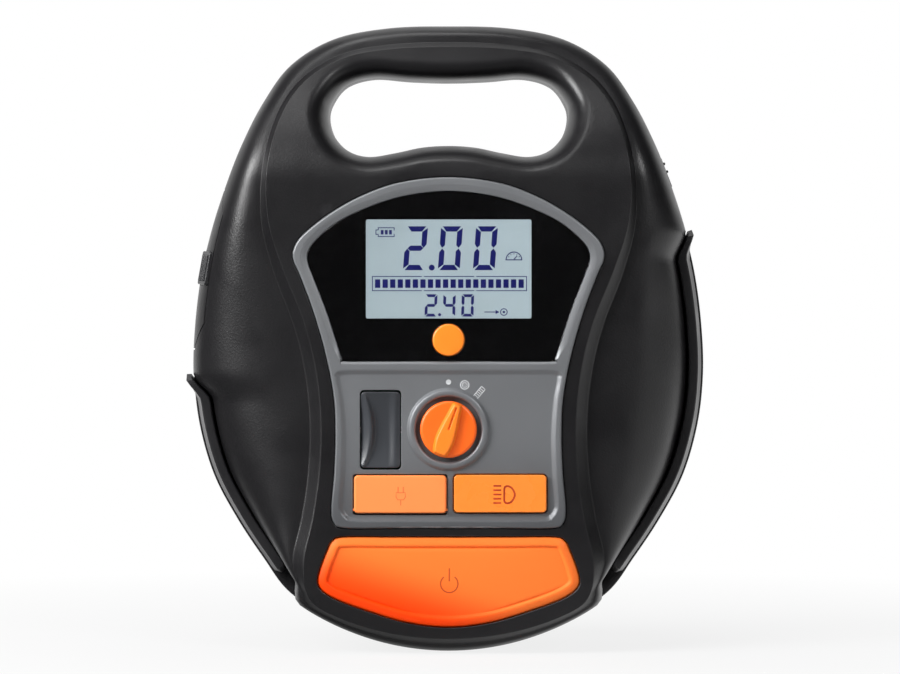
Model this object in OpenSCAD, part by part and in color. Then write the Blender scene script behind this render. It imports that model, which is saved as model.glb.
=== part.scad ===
// Portable cordless tyre inflator with a display gauge and a carrying handle.
// +Z is up, the display faces -Y, and the origin is the middle of the flat it stands on.
// All sizes are in millimetres.

/* [Housing] */
// Overall width across the lower body
body_w = 214; // [208:1:220]
// Depth of the display face in front of the parting plane
front_depth = 44; // [43:0.5:46]
// Depth of the side shoulders in front of the parting plane
shoulder_depth = 39; // [37:0.5:41]
// Depth of the flat back behind the parting plane
rear_depth = 44; // [42:0.5:46]
// Wall thickness of the two moulded shells
wall = 3; // [2.6:0.1:3.4]
// Share of its depth that the housing loses towards the handle
handle_taper = 0.58; // [0.5:0.02:0.62]
// Roll-over radius round the finger opening
grip_round = 8.5; // [7:0.5:9]

/* [Side rails and hose channel] */
// How far each side rail stands out from the front shell
rail_out = 7.2; // [6.6:0.1:7.6]
// How far the rails reach forward of the parting plane
rail_forward = 14; // [12:0.5:16]
// Outward flare at the upper end of each rail
rail_flare = 3.2; // [2:0.1:4]
// Depth of the hose channel round the lower side
channel_depth = 7.5; // [6:0.5:8]

/* [Controls] */
// Diameter of the mode knob
knob_d = 23.2; // [22:0.2:24]
// Turn of the mode knob either side of its middle position, in degrees
knob_turn = 20; // [15:1:25]
// Travel of the power button
power_travel = 1.5; // [0.8:0.1:1.6]
// Travel of the light button
light_travel = 1; // [0.6:0.1:1]
// Travel of the round unit button
unit_travel = 0.8; // [0.5:0.1:0.8]
// Tilt of the set rocker each way, in degrees
rocker_tilt = 5; // [3:1:6]

/* [Compressor] */
// Gear module
gear_module = 1; // [1:1:1]
// Teeth on the motor pinion
pinion_teeth = 10; // [10:1:10]
// Teeth on the crank gear
crank_teeth = 44; // [44:1:44]
// Crank throw, half the piston stroke
crank_throw = 7; // [5:0.5:7]
// Bore of the air cylinder
cylinder_bore = 22; // [20:0.5:23]

/* [Hidden] */
$fn = 64;

// ---------------------------------------------------------------- curves

middle = [0, 125];      // point that the face rings shrink towards
taper_from = 194;       // height where the housing starts to thin
taper_to = 256;         // height where it is thinnest

function ease(t) = let(c = min(1, max(0, t))) c * c * (3 - 2 * c);

function thin(z) = 1 - handle_taper * ease((z - taper_from) / (taper_to - taper_from));

// A right half, from top centre to bottom centre, and its mirror image
function closed(half) = concat(half, [for (i = [len(half) - 2:-1:1]) [-half[i].x, half[i].y]]);

function spline(a, b, c, d, t) =
    0.5 * (2 * b + (c - a) * t + (2 * a - 5 * b + 4 * c - d) * t * t + (3 * b - a - 3 * c + d) * t * t * t);

function smooth(p, n = 3) = let(m = len(p))
    [for (i = [0:m - 1], k = [0:n - 1])
        spline(p[(i + m - 1) % m], p[i], p[(i + 1) % m], p[(i + 2) % m], k / n)];

function inward(p) = let(m = len(p))
    [for (i = [0:m - 1]) let(d = p[(i + 1) % m] - p[(i + m - 1) % m]) [d.y, -d.x] / norm(d)];

function inset(p, d) = let(n = inward(p)) [for (i = [0:len(p) - 1]) p[i] + n[i] * d];

function round_rect(w, h, r, n = 4) =
    [for (q = [0:3], k = [0:n]) let(a = 90 * (q + k / n))
        [(w / 2 - r) * (q == 0 || q == 3 ? 1 : -1) + r * cos(a),
         (h / 2 - r) * (q < 2 ? 1 : -1) + r * sin(a)]];

// Stations down the right half of the silhouette, and of the raised face inside it
w_scale = body_w / 214;
silhouette_half = [for (p = [
    [0, 259.6], [25, 258.8], [48, 254.2], [66, 243.3], [77.5, 227.5], [86.5, 209.5], [93.5, 191.5],
    [99.3, 173.5], [103.6, 155], [106.2, 134.5], [106.9, 114], [104.6, 93], [98.6, 72], [89, 53.7],
    [77.8, 36.8], [66.5, 22], [47, 9.9], [24, 1.9], [0, -0.8]]) [p.x * w_scale, p.y]];
face_half = [
    [0, 249.6], [22, 248.9], [41.5, 245.6], [56.5, 237.5], [66, 226], [71.8, 210.5], [74.4, 193],
    [73, 175], [67.2, 157], [58.6, 135.5], [53.6, 115], [51.6, 94], [52.3, 74], [55, 55],
    [58.8, 37], [56.5, 22.5], [43, 14.3], [22.5, 8.5], [0, 6.5]];
grip_half = [
    [0, 236.4], [16, 236.9], [31, 237.9], [42.5, 234.6], [48.6, 227.2], [49.9, 220.5], [47.4, 212.8],
    [41.5, 206.6], [33, 204.2], [22, 205.8], [11, 208.1], [0, 208.8]];
panel_half = [
    [0, 194.6], [20.2, 192.4], [36, 186.8], [49, 179.4], [59.5, 171], [63.2, 165.2], [63.2, 160.5],
    [60.6, 154.6], [55, 139.5], [50, 122], [46.8, 105], [46.1, 90], [46.6, 74], [47.8, 60],
    [46.8, 53.6], [42, 51.4], [20, 51.4], [0, 51.4]];
lens_half = [
    [0, 188.9], [18, 186.9], [33, 182.2], [46, 175.8], [54.8, 168.2], [57.4, 163.6], [57.3, 159.6],
    [55.5, 154.6], [50, 140.5], [46.2, 129], [43.4, 120.6], [42.2, 119.5], [20, 119.5], [0, 119.5]];
field_half = [
    [0, 114.4], [30, 114.4], [43.4, 114.2], [44.6, 112.2], [43.2, 104], [42.2, 90], [42.6, 74],
    [43.5, 60], [42.6, 56.6], [40, 55.6], [20, 55.6], [0, 55.6]];
power_half = [
    [0, 47.7], [24, 47.7], [43, 47.7], [47.6, 46], [49.6, 42.2], [52, 36], [53.4, 30.4],
    [52, 26.4], [46, 22.4], [33, 17.6], [17, 12.9], [0, 11]];

silhouette = smooth(closed(silhouette_half));
face_line = smooth(closed(face_half));
grip_line = smooth(closed(grip_half), 2);
panel_line = smooth(closed(panel_half));
lens_line = smooth(closed(lens_half));
field_line = smooth(closed(field_half), 2);
power_line = smooth(closed(power_half));
stations = len(silhouette);
side_in = inward(silhouette);

// ---------------------------------------------------------------- solids from rings

function total(p) = [for (q = p) 1] * p;
function area_vector(p) = let(m = len(p)) total([for (i = [0:m - 1]) cross(p[i], p[(i + 1) % m])]);

// A closed solid through rings of equal point counts, each end closed by a fan
module loft(rings) {
    n = len(rings[0]);
    m = len(rings);
    first = m * n;
    low = total(rings[0]) / n;
    high = total(rings[m - 1]) / n;
    sides = [for (j = [0:m - 2], i = [0:n - 1]) let(a = j * n + i, b = j * n + (i + 1) % n)
        each [[a, a + n, b + n], [a, b + n, b]]];
    start = [for (i = [0:n - 1]) [first, i, (i + 1) % n]];
    end = [for (i = [0:n - 1]) [first + 1, (m - 1) * n + (i + 1) % n, (m - 1) * n + i]];
    faces = concat(sides, start, end);
    points = concat([for (r = rings) each r], [low, high]);
    forward = area_vector(rings[0]) * (high - low) > 0;
    polyhedron(points, forward ? faces : [for (f = faces) [f[2], f[1], f[0]]]);
}

// A patch of surface given as rows of points, thickened by a shift
module skin(rows, shift) {
    m = len(rows);
    n = len(rows[0]);
    k = m * n;
    outer = [for (r = rows) each r];
    grid = [for (j = [0:m - 2], i = [0:n - 2]) let(a = j * n + i, b = a + 1)
        each [[a, a + n, b + n], [a, b + n, b], [k + a, k + b + n, k + a + n], [k + a, k + b, k + b + n]]];
    ends = [for (j = [0, m - 1], i = [0:n - 2]) let(a = j * n + i, b = a + 1)
        each j == 0 ? [[a, b, k + b], [a, k + b, k + a]] : [[a, k + b, b], [a, k + a, k + b]]];
    sides = [for (i = [0, n - 1], j = [0:m - 2]) let(a = j * n + i, b = a + n)
        each i == 0 ? [[a, k + b, b], [a, k + a, k + b]] : [[a, b, k + b], [a, k + b, k + a]]];
    polyhedron(concat(outer, [for (p = outer) p + shift]), concat(grid, ends, sides));
}

// A point of a ring at a share of the depth; the base is cut flat at z = 0
function seat(p, y) = [p.x, y * thin(p.y), max(0, p.y)];

// A slab between two depths, drawn in X and Z
module slab(from, to) translate([0, to, 0]) rotate([90, 0, 0]) linear_extrude(to - from) children();

// Round bars along Y and along X
module bar(x, z, r, from, to) translate([x, to, z]) rotate([90, 0, 0]) cylinder(r = r, h = to - from);
module rod(y, z, r, from, to) translate([from, y, z]) rotate([0, 90, 0]) cylinder(r = r, h = to - from);

module brick(low, high) translate(low) cube(high - low);

// A frame on the display face: X right, Y up, Z towards the user
module at_panel(x = 0, z = 0) translate([x, 0, z]) rotate([90, 0, 0]) children();

// A rounded block standing on a face
module tile(w, h, r, from, to) translate([0, 0, from]) linear_extrude(to - from) polygon(round_rect(w, h, r));

// ---------------------------------------------------------------- housing

rail_high_right = 182;  // height where the right rail and channel begin
rail_high_left = 122;   // the same on the left, below the side door
rail_low = 19;          // height where the rails run out at the bottom
run_out = 8;            // length over which a rail seat or channel fades
hook = 12;              // length over which the upper end of a rail turns outwards
squareness = 0.8;       // exponent of the shoulder's rounded profile
turns = [0, 10, 22, 36, 52, 70, 90];

function high_end(p) = p.x > 0 ? rail_high_right : rail_high_left;
function channel_share(p) = ease((high_end(p) - p.y) / run_out);
function rail_share(p, top) = ease((top - p.y) / hook) * ease((p.y - rail_low) / (run_out - 2));

// Edge of the front shell: the silhouette, drawn in where a rail stands outside it
function front_edge(i, deep) = let(p = silhouette[i])
    p + side_in[i] * (deep + rail_out * rail_share(p, high_end(p) - run_out));

// Width of the sloping band from the shoulder up to the raised face
function band(i, edge) = min(2.4 + 3.1 * ease((200 - face_line[i].y) / 60), 0.45 * norm(edge - face_line[i]));

function shoulder(i, turn) =
    let(edge = front_edge(i, 0), away = edge - face_line[i],
        foot = face_line[i] + away / norm(away) * band(i, edge),
        share = 1 - pow(cos(turn), squareness))
    seat(edge + (foot - edge) * share, -shoulder_depth * pow(sin(turn), squareness));

function face_ring(share, y) = [for (p = face_line) seat(middle + (p - middle) * share, y)];

module front_solid() loft(concat(
    [for (turn = turns) [for (i = [0:stations - 1]) shoulder(i, turn)]],
    [for (share = [1, 0.93, 0.85, 0.76, 0.66, 0.54]) face_ring(share, -front_depth)]));

// Rear profile: [inset from the silhouette, depth behind the parting plane, share of the channel]
rear_profile = [[0, 0, 0], [0, 2, 0], [0.1, 3, 1], [0.2, 12.4, 1], [0.4, 13.8, 0], [1.2, 21, 0],
    [3.2, 29, 0], [6.6, 35.5, 0], [11.5, 40, 0], [17.5, 42.8, 0], [25, 44, 0], [40, 44, 0], [56, 44, 0]];
reach = 105;            // distance over which the back rings shrink to the middle

function rear_point(i, step) =
    let(p = silhouette[i] + side_in[i] * channel_depth * step.z * channel_share(silhouette[i]))
    seat(middle + (p - middle) * (1 - step.x / reach), step.y * rear_depth / 44);

module rear_solid() loft([for (step = rear_profile) [for (i = [0:stations - 1]) rear_point(i, step)]]);

// Finger opening, waisted at the parting plane and rolled over at both faces
function roll(f) = let(q = min(1, max(0, (f - 0.35) / 0.65)))
    grip_round * (1 - sqrt(1 - q * q)) + 6 * max(0, f - 1);
module grip_opening(side, extra, steps) loft([for (f = steps)
    [for (p = inset(grip_line, -roll(f) - extra)) seat(p, side * f * (side < 0 ? front_depth : rear_depth))]]);
cut_steps = [-0.05, 0.35, 0.6, 0.78, 0.91, 1, 1.4];
wall_steps = [-0.1, 0.35, 0.6, 0.8, 0.95];

function cave(p, y) = [p.x, y * thin(p.y), max(wall + 1, p.y)];

module front_cavity() loft([
    for (step = [[0.01, 0, 1], [-14, 1.2, 1], [-24, 5, 1], [-31, 12, 1], [wall - shoulder_depth, 22, 1],
                 [wall - shoulder_depth, 40, 0.82], [wall - shoulder_depth, 40, 0.52]])
    [for (i = [0:stations - 1])
        let(edge = front_edge(i, wall + 1), p = edge + (face_line[i] - edge) * step.y / 40)
        cave(middle + (p - middle) * step.z, step.x)]]);

module rear_cavity() loft([
    for (step = [[-0.01, 0], [14, 1], [26, 4], [34, 10], [rear_depth - wall, 20], [rear_depth - wall, 36],
                 [rear_depth - wall, 54]])
    [for (i = [0:stations - 1])
        let(p = silhouette[i] + side_in[i] * (wall + 0.4 + channel_depth * channel_share(silhouette[i])))
        cave(middle + (p - middle) * (1 - step.y / reach), step.x)]]);

// Case screws: [x, z, length of front boss, length of rear boss, depth of the head seat]
screw_places = [for (s = [-1, 1]) each
    [[s * 66, 52, 33.5, 38, 16], [s * 59, 172, 37, 42, 16], [s * 60, 240, 12, 12, 7]]];
boss_r = 4.4;
head_boss_r = 5.2;
pilot_r = 1.3;
head_r = 3.1;

// ---------------------------------------------------------------- side door and ports, placing

door_low = 124;
door_high = 191;
door_back = 24;
door_clip = 11;
door_gap = 0.8;         // gap left round the door so that it can swing
door_wall = 2.2;
hinge_at = [-101.3, 24.2, 157.5];
hinge_lean = 10.6;
knuckle_r = 1.7;
function door_outline(grow) = [
    [-23.5 - grow, door_low + door_clip], [-23.5 + door_clip - grow / 2, door_low - grow],
    [door_back + grow, door_low - grow], [door_back + grow, door_high + grow],
    [-29 + door_clip - grow / 2, door_high + grow], [-29 - grow, door_high - door_clip]];
module door_block(grow, from, to)
    translate([from, 0, 0]) rotate([90, 0, 90]) linear_extrude(to - from) polygon(door_outline(grow));
module at_hinge() translate(hinge_at) rotate([0, hinge_lean, 0]) children();
module at_latch() translate([-101.1, -17.5, 158]) rotate([0, 10, 0]) rotate([0, 0, 17]) rotate([90, 0, -90])
    children();

port_at = [91.3, 1, 197];
port_lean = -21;
module at_port() translate(port_at) rotate([0, port_lean, 0]) rotate([90, 0, 90]) children();

gland_at = [94.5, 7.7, 167];
gland_turn = -50;
gland_r = 5.4;
gland_len = 15;
hose_r = 4.1;
module at_gland() translate(gland_at) rotate([0, gland_turn, 0]) children();

lamp_at = [0, 148];
lamp_w = 34;
lamp_h = 15;

// A small cover that turns on a barrel along its lower edge
barrel_r = 1.2;
flap_pin_r = 0.6;
function flap_axis(h) = barrel_r - h / 2;
module flap(w, h, top) {
    y = flap_axis(h);
    intersection() {
        union() {
            translate([-w, y, top - 2]) rotate([0, 90, 0]) cylinder(r = barrel_r, h = 2 * w);
            translate([-w, 0, 0]) rotate([90, 0, 90]) linear_extrude(2 * w) polygon([
                [y, top - 0.8], [y + 2.4, top], [h / 2 - 0.7, top], [h / 2 + 0.1, top - 0.8],
                [h / 2 + 0.1, top - 2], [y, top - 2]]);
        }
        tile(w, h, 1.5, top - 5, top + 1);
    }
    translate([-w / 2 - 0.9, y, top - 2]) rotate([0, 90, 0]) cylinder(r = flap_pin_r, h = w + 1.8);
}
module flap_pocket(w, h, top) {
    y = flap_axis(h);
    translate([0, 0, top - 2.3]) linear_extrude(12) polygon(round_rect(w + 0.6, h + 0.6, 1.8));
    brick([-w / 2 - 0.35, -h / 2 - 0.35, top - 3.5], [w / 2 + 0.35, y + 2, top + 6]);
    translate([-w / 2 - 1, y, top - 2]) rotate([0, 90, 0]) cylinder(r = flap_pin_r + 0.05, h = w + 2);
}

// ---------------------------------------------------------------- shells

panel_seat_y = -40.5;
fit = 0.25;             // gap round a part that drops into a seat

// The panel's outline drawn in towards its middle, for the ledge it rests on and for the board
function drawn_in(across, along) = [for (p = panel_line) [p.x * across, 123 + (p.y - 123) * along]];

module front_shell() color([0.09, 0.09, 0.1]) {
    difference() {
        front_solid();
        difference() {
            front_cavity();
            grip_opening(-1, wall, wall_steps);
        }
        grip_opening(-1, 0, cut_steps);
        slab(-front_depth - 4, panel_seat_y) polygon(inset(panel_line, -fit));
        slab(panel_seat_y - 1, -30) polygon(drawn_in(0.935, 0.95));
        slab(-front_depth - 4, -30) polygon(inset(power_line, -0.3));
        slab(-41, -30) polygon(inset(power_line, -1.8));
        door_block(0, -150, -60);
        at_port() flap_pocket(14, 16, 0.5);
        at_port() translate([0, 0, -20]) cylinder(r = 5.6, h = 20);
    }
    for (p = screw_places) difference() {
        bar(p[0], p[1], boss_r, -p[2], -0.2);
        bar(p[0], p[1], pilot_r, -10, 0);
    }
}

foot_places = [[-62, 66], [62, 66], [-54, 166], [54, 166]];
foot_r = 8;
vent_rows = 7;
vent_pitch = 7;
vent_low = 74;

module rear_shell() color([0.08, 0.08, 0.09]) {
    difference() {
        rear_solid();
        difference() {
            rear_cavity();
            grip_opening(1, wall, wall_steps);
        }
        grip_opening(1, 0, cut_steps);
        door_block(0, -150, -60);
        at_hinge() cylinder(r = knuckle_r + 0.35, h = 12.8, center = true);
        at_hinge() cylinder(r = 0.8, h = 25.4, center = true);
        at_port() flap_pocket(14, 16, 0.5);
        at_port() translate([0, 0, -20]) cylinder(r = 5.6, h = 20);
        at_gland() translate([0, 0, -8]) cylinder(r = gland_r, h = 34);
        for (p = foot_places) bar(p.x, p.y, foot_r, rear_depth - 1.2, rear_depth + 4);
        for (k = [0:vent_rows - 1], s = [-1, 1])
            translate([s * 19, 0, vent_low + k * vent_pitch]) slab(rear_depth - 8, rear_depth + 4)
                polygon(round_rect(30, 3, 1.45));
        translate([lamp_at.x, 0, lamp_at.y]) slab(rear_depth - 8, rear_depth + 4)
            polygon(round_rect(lamp_w + 0.4, lamp_h + 0.4, 3.2));
        for (p = screw_places) bar(p[0], p[1], head_r + 0.3, p[4], 60);
    }
    for (p = screw_places) difference() {
        bar(p[0], p[1], head_boss_r, 0.2, p[3]);
        bar(p[0], p[1], 1.65, -1, 60);
        bar(p[0], p[1], head_r + 0.3, p[4], 60);
    }
    for (z = [66, 122]) bar(0, z, 3.6, 36, rear_depth - wall + 0.5);
    at_hinge() for (s = [-1, 1]) difference() {
        union() {
            translate([0, 0, s * 9.5]) cylinder(r = knuckle_r, h = 6, center = true);
            translate([0, 0, s * 9.5]) brick([0, 0, -3], [knuckle_r, 4, 3]);
        }
        cylinder(r = 0.8, h = 40, center = true);
    }
}

// Side rails: the front lip of the hose channel, standing on the rear shell's edge. Each follows the
// stations of the silhouette and hooks outwards at its upper end
rail_from = 28;
module rail(top) loft([for (i = [0:stations / 2])
    let(p = silhouette[i], n = side_in[i], s = rail_share(p, top), inner = rail_out * s - 0.12,
        outer = 3 * s - rail_flare * (1 - s))
    if (p.y > rail_from && p.y < top + 0.1)
        [for (q = [[inner, -0.02], [inner, 0.7 - rail_forward], [inner - 0.7, -rail_forward],
                   [outer + 1, -rail_forward], [outer, 1 - rail_forward],
                   [outer - 1.3 * s + 0.2, -7], [outer - 2.8 * s + 0.8, -3], [outer - 3 * s + 1.2, -0.02]])
            [p.x + n.x * q.x, q.y, p.y + n.y * q.x]]]);
module right_rail() color([0.1, 0.1, 0.11]) rail(rail_high_right - run_out);
module left_rail() color([0.1, 0.1, 0.11]) mirror([1, 0, 0]) rail(rail_high_left - run_out);

module rear_feet() color([0.13, 0.13, 0.13]) for (p = foot_places)
    translate([p.x, rear_depth - 1.2, p.y]) rotate([-90, 0, 0]) {
        cylinder(r = foot_r - 0.05, h = 2.6);
        translate([0, 0, 2.6]) difference() {
            cylinder(r1 = foot_r - 0.05, r2 = foot_r - 0.8, h = 0.6);
            difference() {
                cylinder(r = 5.8, h = 1);
                cylinder(r = 4.2, h = 1);
            }
        }
    }

module case_screws() color([0.6, 0.6, 0.62]) for (p = screw_places)
    difference() {
        union() {
            bar(p[0], p[1], head_r, p[4], p[4] + 2.4);
            bar(p[0], p[1], pilot_r, -8, p[4]);
        }
        translate([p[0], p[4] + 1.2, p[1]]) slab(0, 3) square([1, 4.2], center = true);
        translate([p[0], p[4] + 1.2, p[1]]) slab(0, 3) square([4.2, 1], center = true);
    }

// ---------------------------------------------------------------- control panel

knob_z = 91.7;
unit_z = 128.2;
rocker_at = [-27.7, 91.5];
rocker_w = 16.2;
rocker_h = 31;
rocker_axis = 39.5;     // distance of the rocker's pin in front of the parting plane
usb_at = [-19.7, 65.3];
light_at = [21.1, 65.5];
key_w = 38;
key_h = 15.6;
flap_top = 45;
key_rest = 38.2;        // height of the switch stems, where a key bottoms out
field_y = 43.8;
post_places = [[-40.3, 80], [40.3, 80], [-41, 113], [41, 113]];

module control_panel() color([0.45, 0.45, 0.47]) difference() {
    union() {
        loft([for (step = [[0, 40.5], [0, 43.9], [0.35, 44.6], [1.2, 45]])
            [for (p = inset(panel_line, step.x)) [p.x, -step.y, p.y]]]);
        at_panel(0, knob_z) collar();
        for (p = post_places) bar(p.x, p.y, 2.2, -41, -34);
        at_panel(rocker_at.x, rocker_at.y) for (s = [-1, 1])
            translate([s * 9.4, 0, 0]) brick([-0.6, -3.2, 36.2], [0.6, 3.2, 41]);
    }
    slab(-46, -42.5) polygon(inset(lens_line, -0.2));
    slab(-46, -36) translate([-36, 136.6]) square([72, 42.8]);
    bar(0, unit_z, 6.8, -46, -36);
    panel_field();
    at_panel(0, knob_z) {
        translate([0, 0, 41.6]) cylinder(r = 13.4, h = 6);
        translate([0, 0, 36]) cylinder(r = 3.6, h = 8);
    }
    at_panel(rocker_at.x, rocker_at.y) {
        tile(16.8, 32.4, 1.7, 41, 47);
        brick([-8.45, -16.25, 35], [8.45, 16.25, 42]);
        translate([-12, 0, rocker_axis]) rotate([0, 90, 0]) cylinder(r = 1.5, h = 24);
    }
    at_panel(usb_at.x, usb_at.y) {
        flap_pocket(key_w, key_h, flap_top);
        translate([0, 1, 0]) brick([-7, -3.3, 36], [7, 3.3, 46]);
    }
    at_panel(light_at.x, light_at.y) tile(key_w + 0.6, key_h + 0.6, 1.8, 36, 47);
    for (p = post_places) bar(p.x, p.y, 0.9, -38.5, -33);
}

// The lower field sits below the frame and the knob's collar stands on it
module panel_field() difference() {
    loft([for (step = [[-1.2, 45.4], [0, 44.2], [0.6, field_y]])
        [for (p = inset(field_line, step.x)) [p.x, -step.y, p.y]]]);
    at_panel(0, knob_z) collar();
}

module collar() rotate_extrude() polygon([
    [12.4, 42], [16.6, 42], [16.4, 44], [15.8, 44.9], [14.9, 45.4], [14.1, 45.4], [13.5, 45], [12.4, 44.6]]);

module display_lens() color([0.03, 0.03, 0.035]) difference() {
    slab(-44.4, -42.5) polygon(lens_line);
    bar(0, unit_z, 6.8, -46, -40);
}

module lcd_glass() color([0.65, 0.76, 0.8]) brick([-35.6, -42.4, 137], [35.6, -40.6, 179]);

module lcd_backlight() color([0.9, 0.9, 0.88]) difference() {
    brick([-35.6, -40.6, 137], [35.6, -34, 179]);
    brick([-33, -39, 139.5], [33, -36, 176.5]);
}

module unit_button() color([1, 0.42, 0.1]) at_panel(0, unit_z) {
    translate([0, 0, key_rest + 0.2 + unit_travel]) cylinder(r = 8, h = 1.2);
    cylinder_cap(6.5, 40.4, 45.6);
}
module cylinder_cap(r, from, to) rotate_extrude() polygon(
    [[0, from - 0.5], [r, from - 0.5], [r, to - 0.8], [r - 0.3, to - 0.25], [r - 0.9, to], [0, to - 0.2]]);

module mode_knob() color([1, 0.42, 0.1]) at_panel(0, knob_z) {
    rotate_extrude() polygon([
        [0, 41.9], [knob_d / 2, 41.9], [knob_d / 2, 45.4], [knob_d / 2 - 0.5, 46.2], [knob_d / 2 - 1.3, 46.5],
        [0, 46.5]]);
    translate([0, 0, 36]) cylinder(r = 3, h = 6);
    rotate([0, 0, -knob_turn]) difference() {
        union() {
            translate([0, 0, 46]) linear_extrude(2.4) polygon(pointer(0));
            translate([0, 0, 46]) linear_extrude(2.9) polygon(pointer(0.4));
        }
        translate([0, 4.6, 48.3]) tile(1, 9, 0.49, 0, 3);
    }
}

// The finger grip narrows from its tail to the end that points
function pointer(by) = [[-3.5 + by, by - 9.4], [-2.6 + by, by - 10.5], [2.6 - by, by - 10.5], [3.5 - by, by - 9.4],
    [1.5 - by / 2, 9.8 - by], [0.8, 10.6 - by], [-0.8, 10.6 - by], [-1.5 + by / 2, 9.8 - by]];

module mode_switch() color([0.2, 0.3, 0.5]) at_panel(0, knob_z) difference() {
    tile(13, 13, 1, 34, 39.2);
    translate([0, 0, 35.8]) cylinder(r = 3.05, h = 6);
}

module set_rocker() color([0.16, 0.16, 0.17]) at_panel(rocker_at.x, rocker_at.y) difference() {
    union() {
        intersection() {
            tile(rocker_w, rocker_h, 1.7, 41.2, 46);
            union() {
                translate([-12, 0, 0]) rotate([90, 0, 90]) linear_extrude(24) polygon(concat(
                    [for (k = [-8:8]) let(t = k / 8) [t * 16, 42.9 + 1.9 * t * t - (abs(k) == 8 ? 0.5 : 0)]],
                    [[16, 41], [-16, 41]]));
                crescent();
            }
        }
        translate([-rocker_w / 2 + 0.3, 0, rocker_axis]) rotate([0, 90, 0])
            cylinder(r = 2.9, h = rocker_w - 0.6);
        for (s = [-1, 1]) translate([0, s * 10, key_rest + 0.2 + 10.3 * sin(rocker_tilt)])
            cylinder(r = 1.6, h = 2.4);
    }
    translate([-12, 0, rocker_axis]) rotate([0, 90, 0]) cylinder(r = 1.55, h = 24);
}

// The raised ridge along the left side of the rocker's hollow
module crescent() for (step = [[1.2, 43.8], [0, 44.5]]) translate([0, 0, 42]) linear_extrude(step.y - 42)
    polygon(concat([for (k = [-8:8]) let(t = k / 8) [step.x - 7.2 + 2.8 * (1 - t * t), 14.5 * t]],
        [[-9, 14.5], [-9, -14.5]]));

module rocker_pin() color([0.7, 0.7, 0.72]) at_panel(rocker_at.x, rocker_at.y)
    translate([-10, 0, rocker_axis]) rotate([0, 90, 0]) cylinder(r = 1.5, h = 20);

module usb_cover() color([1, 0.45, 0.16]) at_panel(usb_at.x, usb_at.y) difference() {
    flap(key_w, key_h, flap_top);
    translate([0, 0, flap_top - 0.2]) {
        brick([-2, -1.8, 0], [2, 0.8, 1]);
        for (x = [-1.3, 0.8]) brick([x, 0.7, 0], [x + 0.5, 3, 1]);
        brick([-0.25, -4.6, 0], [0.25, -1.7, 1]);
    }
}

module usb_socket() color([0.75, 0.75, 0.76]) at_panel(usb_at.x, usb_at.y) translate([0, 1, 0]) {
    difference() {
        tile(13.2, 5.8, 0.7, 34, 42.3);
        tile(12.2, 4.8, 0.4, 35, 43);
    }
    brick([-5.5, 0.4, 34.5], [5.5, 2.2, 41]);
}

// Outline of the lamp in the light button's sign
bulb = smooth([[1.3, -2.6], [1.3, 0], [1.3, 2.4], [2.9, 3.3], [4.9, 1.6], [5.6, -0.4], [4.9, -2.4], [2.9, -4.1]]);

module light_button() color([1, 0.42, 0.1]) at_panel(light_at.x, light_at.y) difference() {
    union() {
        tile(key_w + 2, key_h + 1.8, 1.5, key_rest + light_travel, 40.4);
        tile(key_w, key_h, 1.6, 40, 44.7);
        tile(key_w - 0.8, key_h - 0.8, 1.3, 44.7, 45.2);
    }
    translate([0, 0, 45]) {
        for (k = [0:4]) brick([-2.9, 1.75 * k - 4.2, 0], [0.4, 1.75 * k - 3.6, 1]);
        linear_extrude(1) difference() {
            polygon(bulb);
            polygon(inset(bulb, 0.6));
        }
    }
}

module power_button() color([1, 0.42, 0.1]) {
    loft([for (step = [[0, 40.6], [0, 42.8], [0.8, 43.6], [3, 44.3], [4.2, 43.6]])
        [for (p = inset(power_line, step.x)) [p.x, -step.y, p.y]]]);
    slab(-40.8, -key_rest - power_travel) polygon(inset(power_line, -1.4));
}

// ---------------------------------------------------------------- electronics

module main_board() color([0.1, 0.36, 0.2]) difference() {
    slab(-34, -32.4) {
        polygon(drawn_in(0.914, 0.93));
        translate([-12, 24]) square([24, 36]);
    }
    for (p = post_places) bar(p.x, p.y, 1, -35, -32);
}

switch_places = [[0, unit_z], light_at, rocker_at - [0, 10], rocker_at + [0, 10], [0, 31]];
module tact_switches() color([0.3, 0.3, 0.32]) for (p = switch_places) at_panel(p.x, p.y) {
    tile(6, 6, 0.5, 34, 37.1);
    translate([0, 0, 37]) cylinder(r = 1.7, h = 1.1);
}

module board_screws() color([0.6, 0.6, 0.62]) for (p = post_places) {
    bar(p.x, p.y, 0.9, -38.4, -32.4);
    bar(p.x, p.y, 2, -32.4, -31);
}

module pressure_sensor() color([0.15, 0.15, 0.16]) {
    brick([24, -32.4, 150], [36, -26, 159]);
    bar(30, 154.5, 1.6, -26, -21);
}

cell_r = 9.2;
cell_places = [[49, -12], [68, -12], [49, 7], [68, 7]];
cell_low = 66;
cell_len = 65;
module battery_cells() color([0.25, 0.45, 0.7]) for (p = cell_places) {
    translate([p.x, p.y, cell_low]) cylinder(r = cell_r, h = cell_len - 1.2);
    translate([p.x, p.y, cell_low + cell_len - 1.2]) cylinder(r = 3, h = 1.2);
}

module battery_holder() color([0.2, 0.2, 0.21]) {
    for (z = [cell_low - 3, cell_low + cell_len]) translate([58.5, -2.5, z]) linear_extrude(3)
        polygon(round_rect(39, 39, 8));
    for (x = [39.2, 76.6]) brick([x, -6, cell_low - 3], [x + 1.2, 1, cell_low + cell_len + 3]);
    brick([45, 17, cell_low - 3], [55, 30, cell_low]);
    brick([50, 17, cell_low + cell_len], [62, 41, cell_low + cell_len + 3]);
    brick([45, 27, cell_low - 3], [55, 30, cell_low + 7]);
    brick([45, 27, cell_low], [55, 41, cell_low + 7]);
}

// ---------------------------------------------------------------- compressor

motor_y = 12;
motor_z = 47;
centres = gear_module * (pinion_teeth + crank_teeth) / 2 + 0.25;
crank_z = motor_z + centres;
gear_from = 13.5;
gear_to = 19.5;
rod_x = 24.7;
piston_len = 45;
piston_top = crank_z + crank_throw + piston_len;

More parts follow.
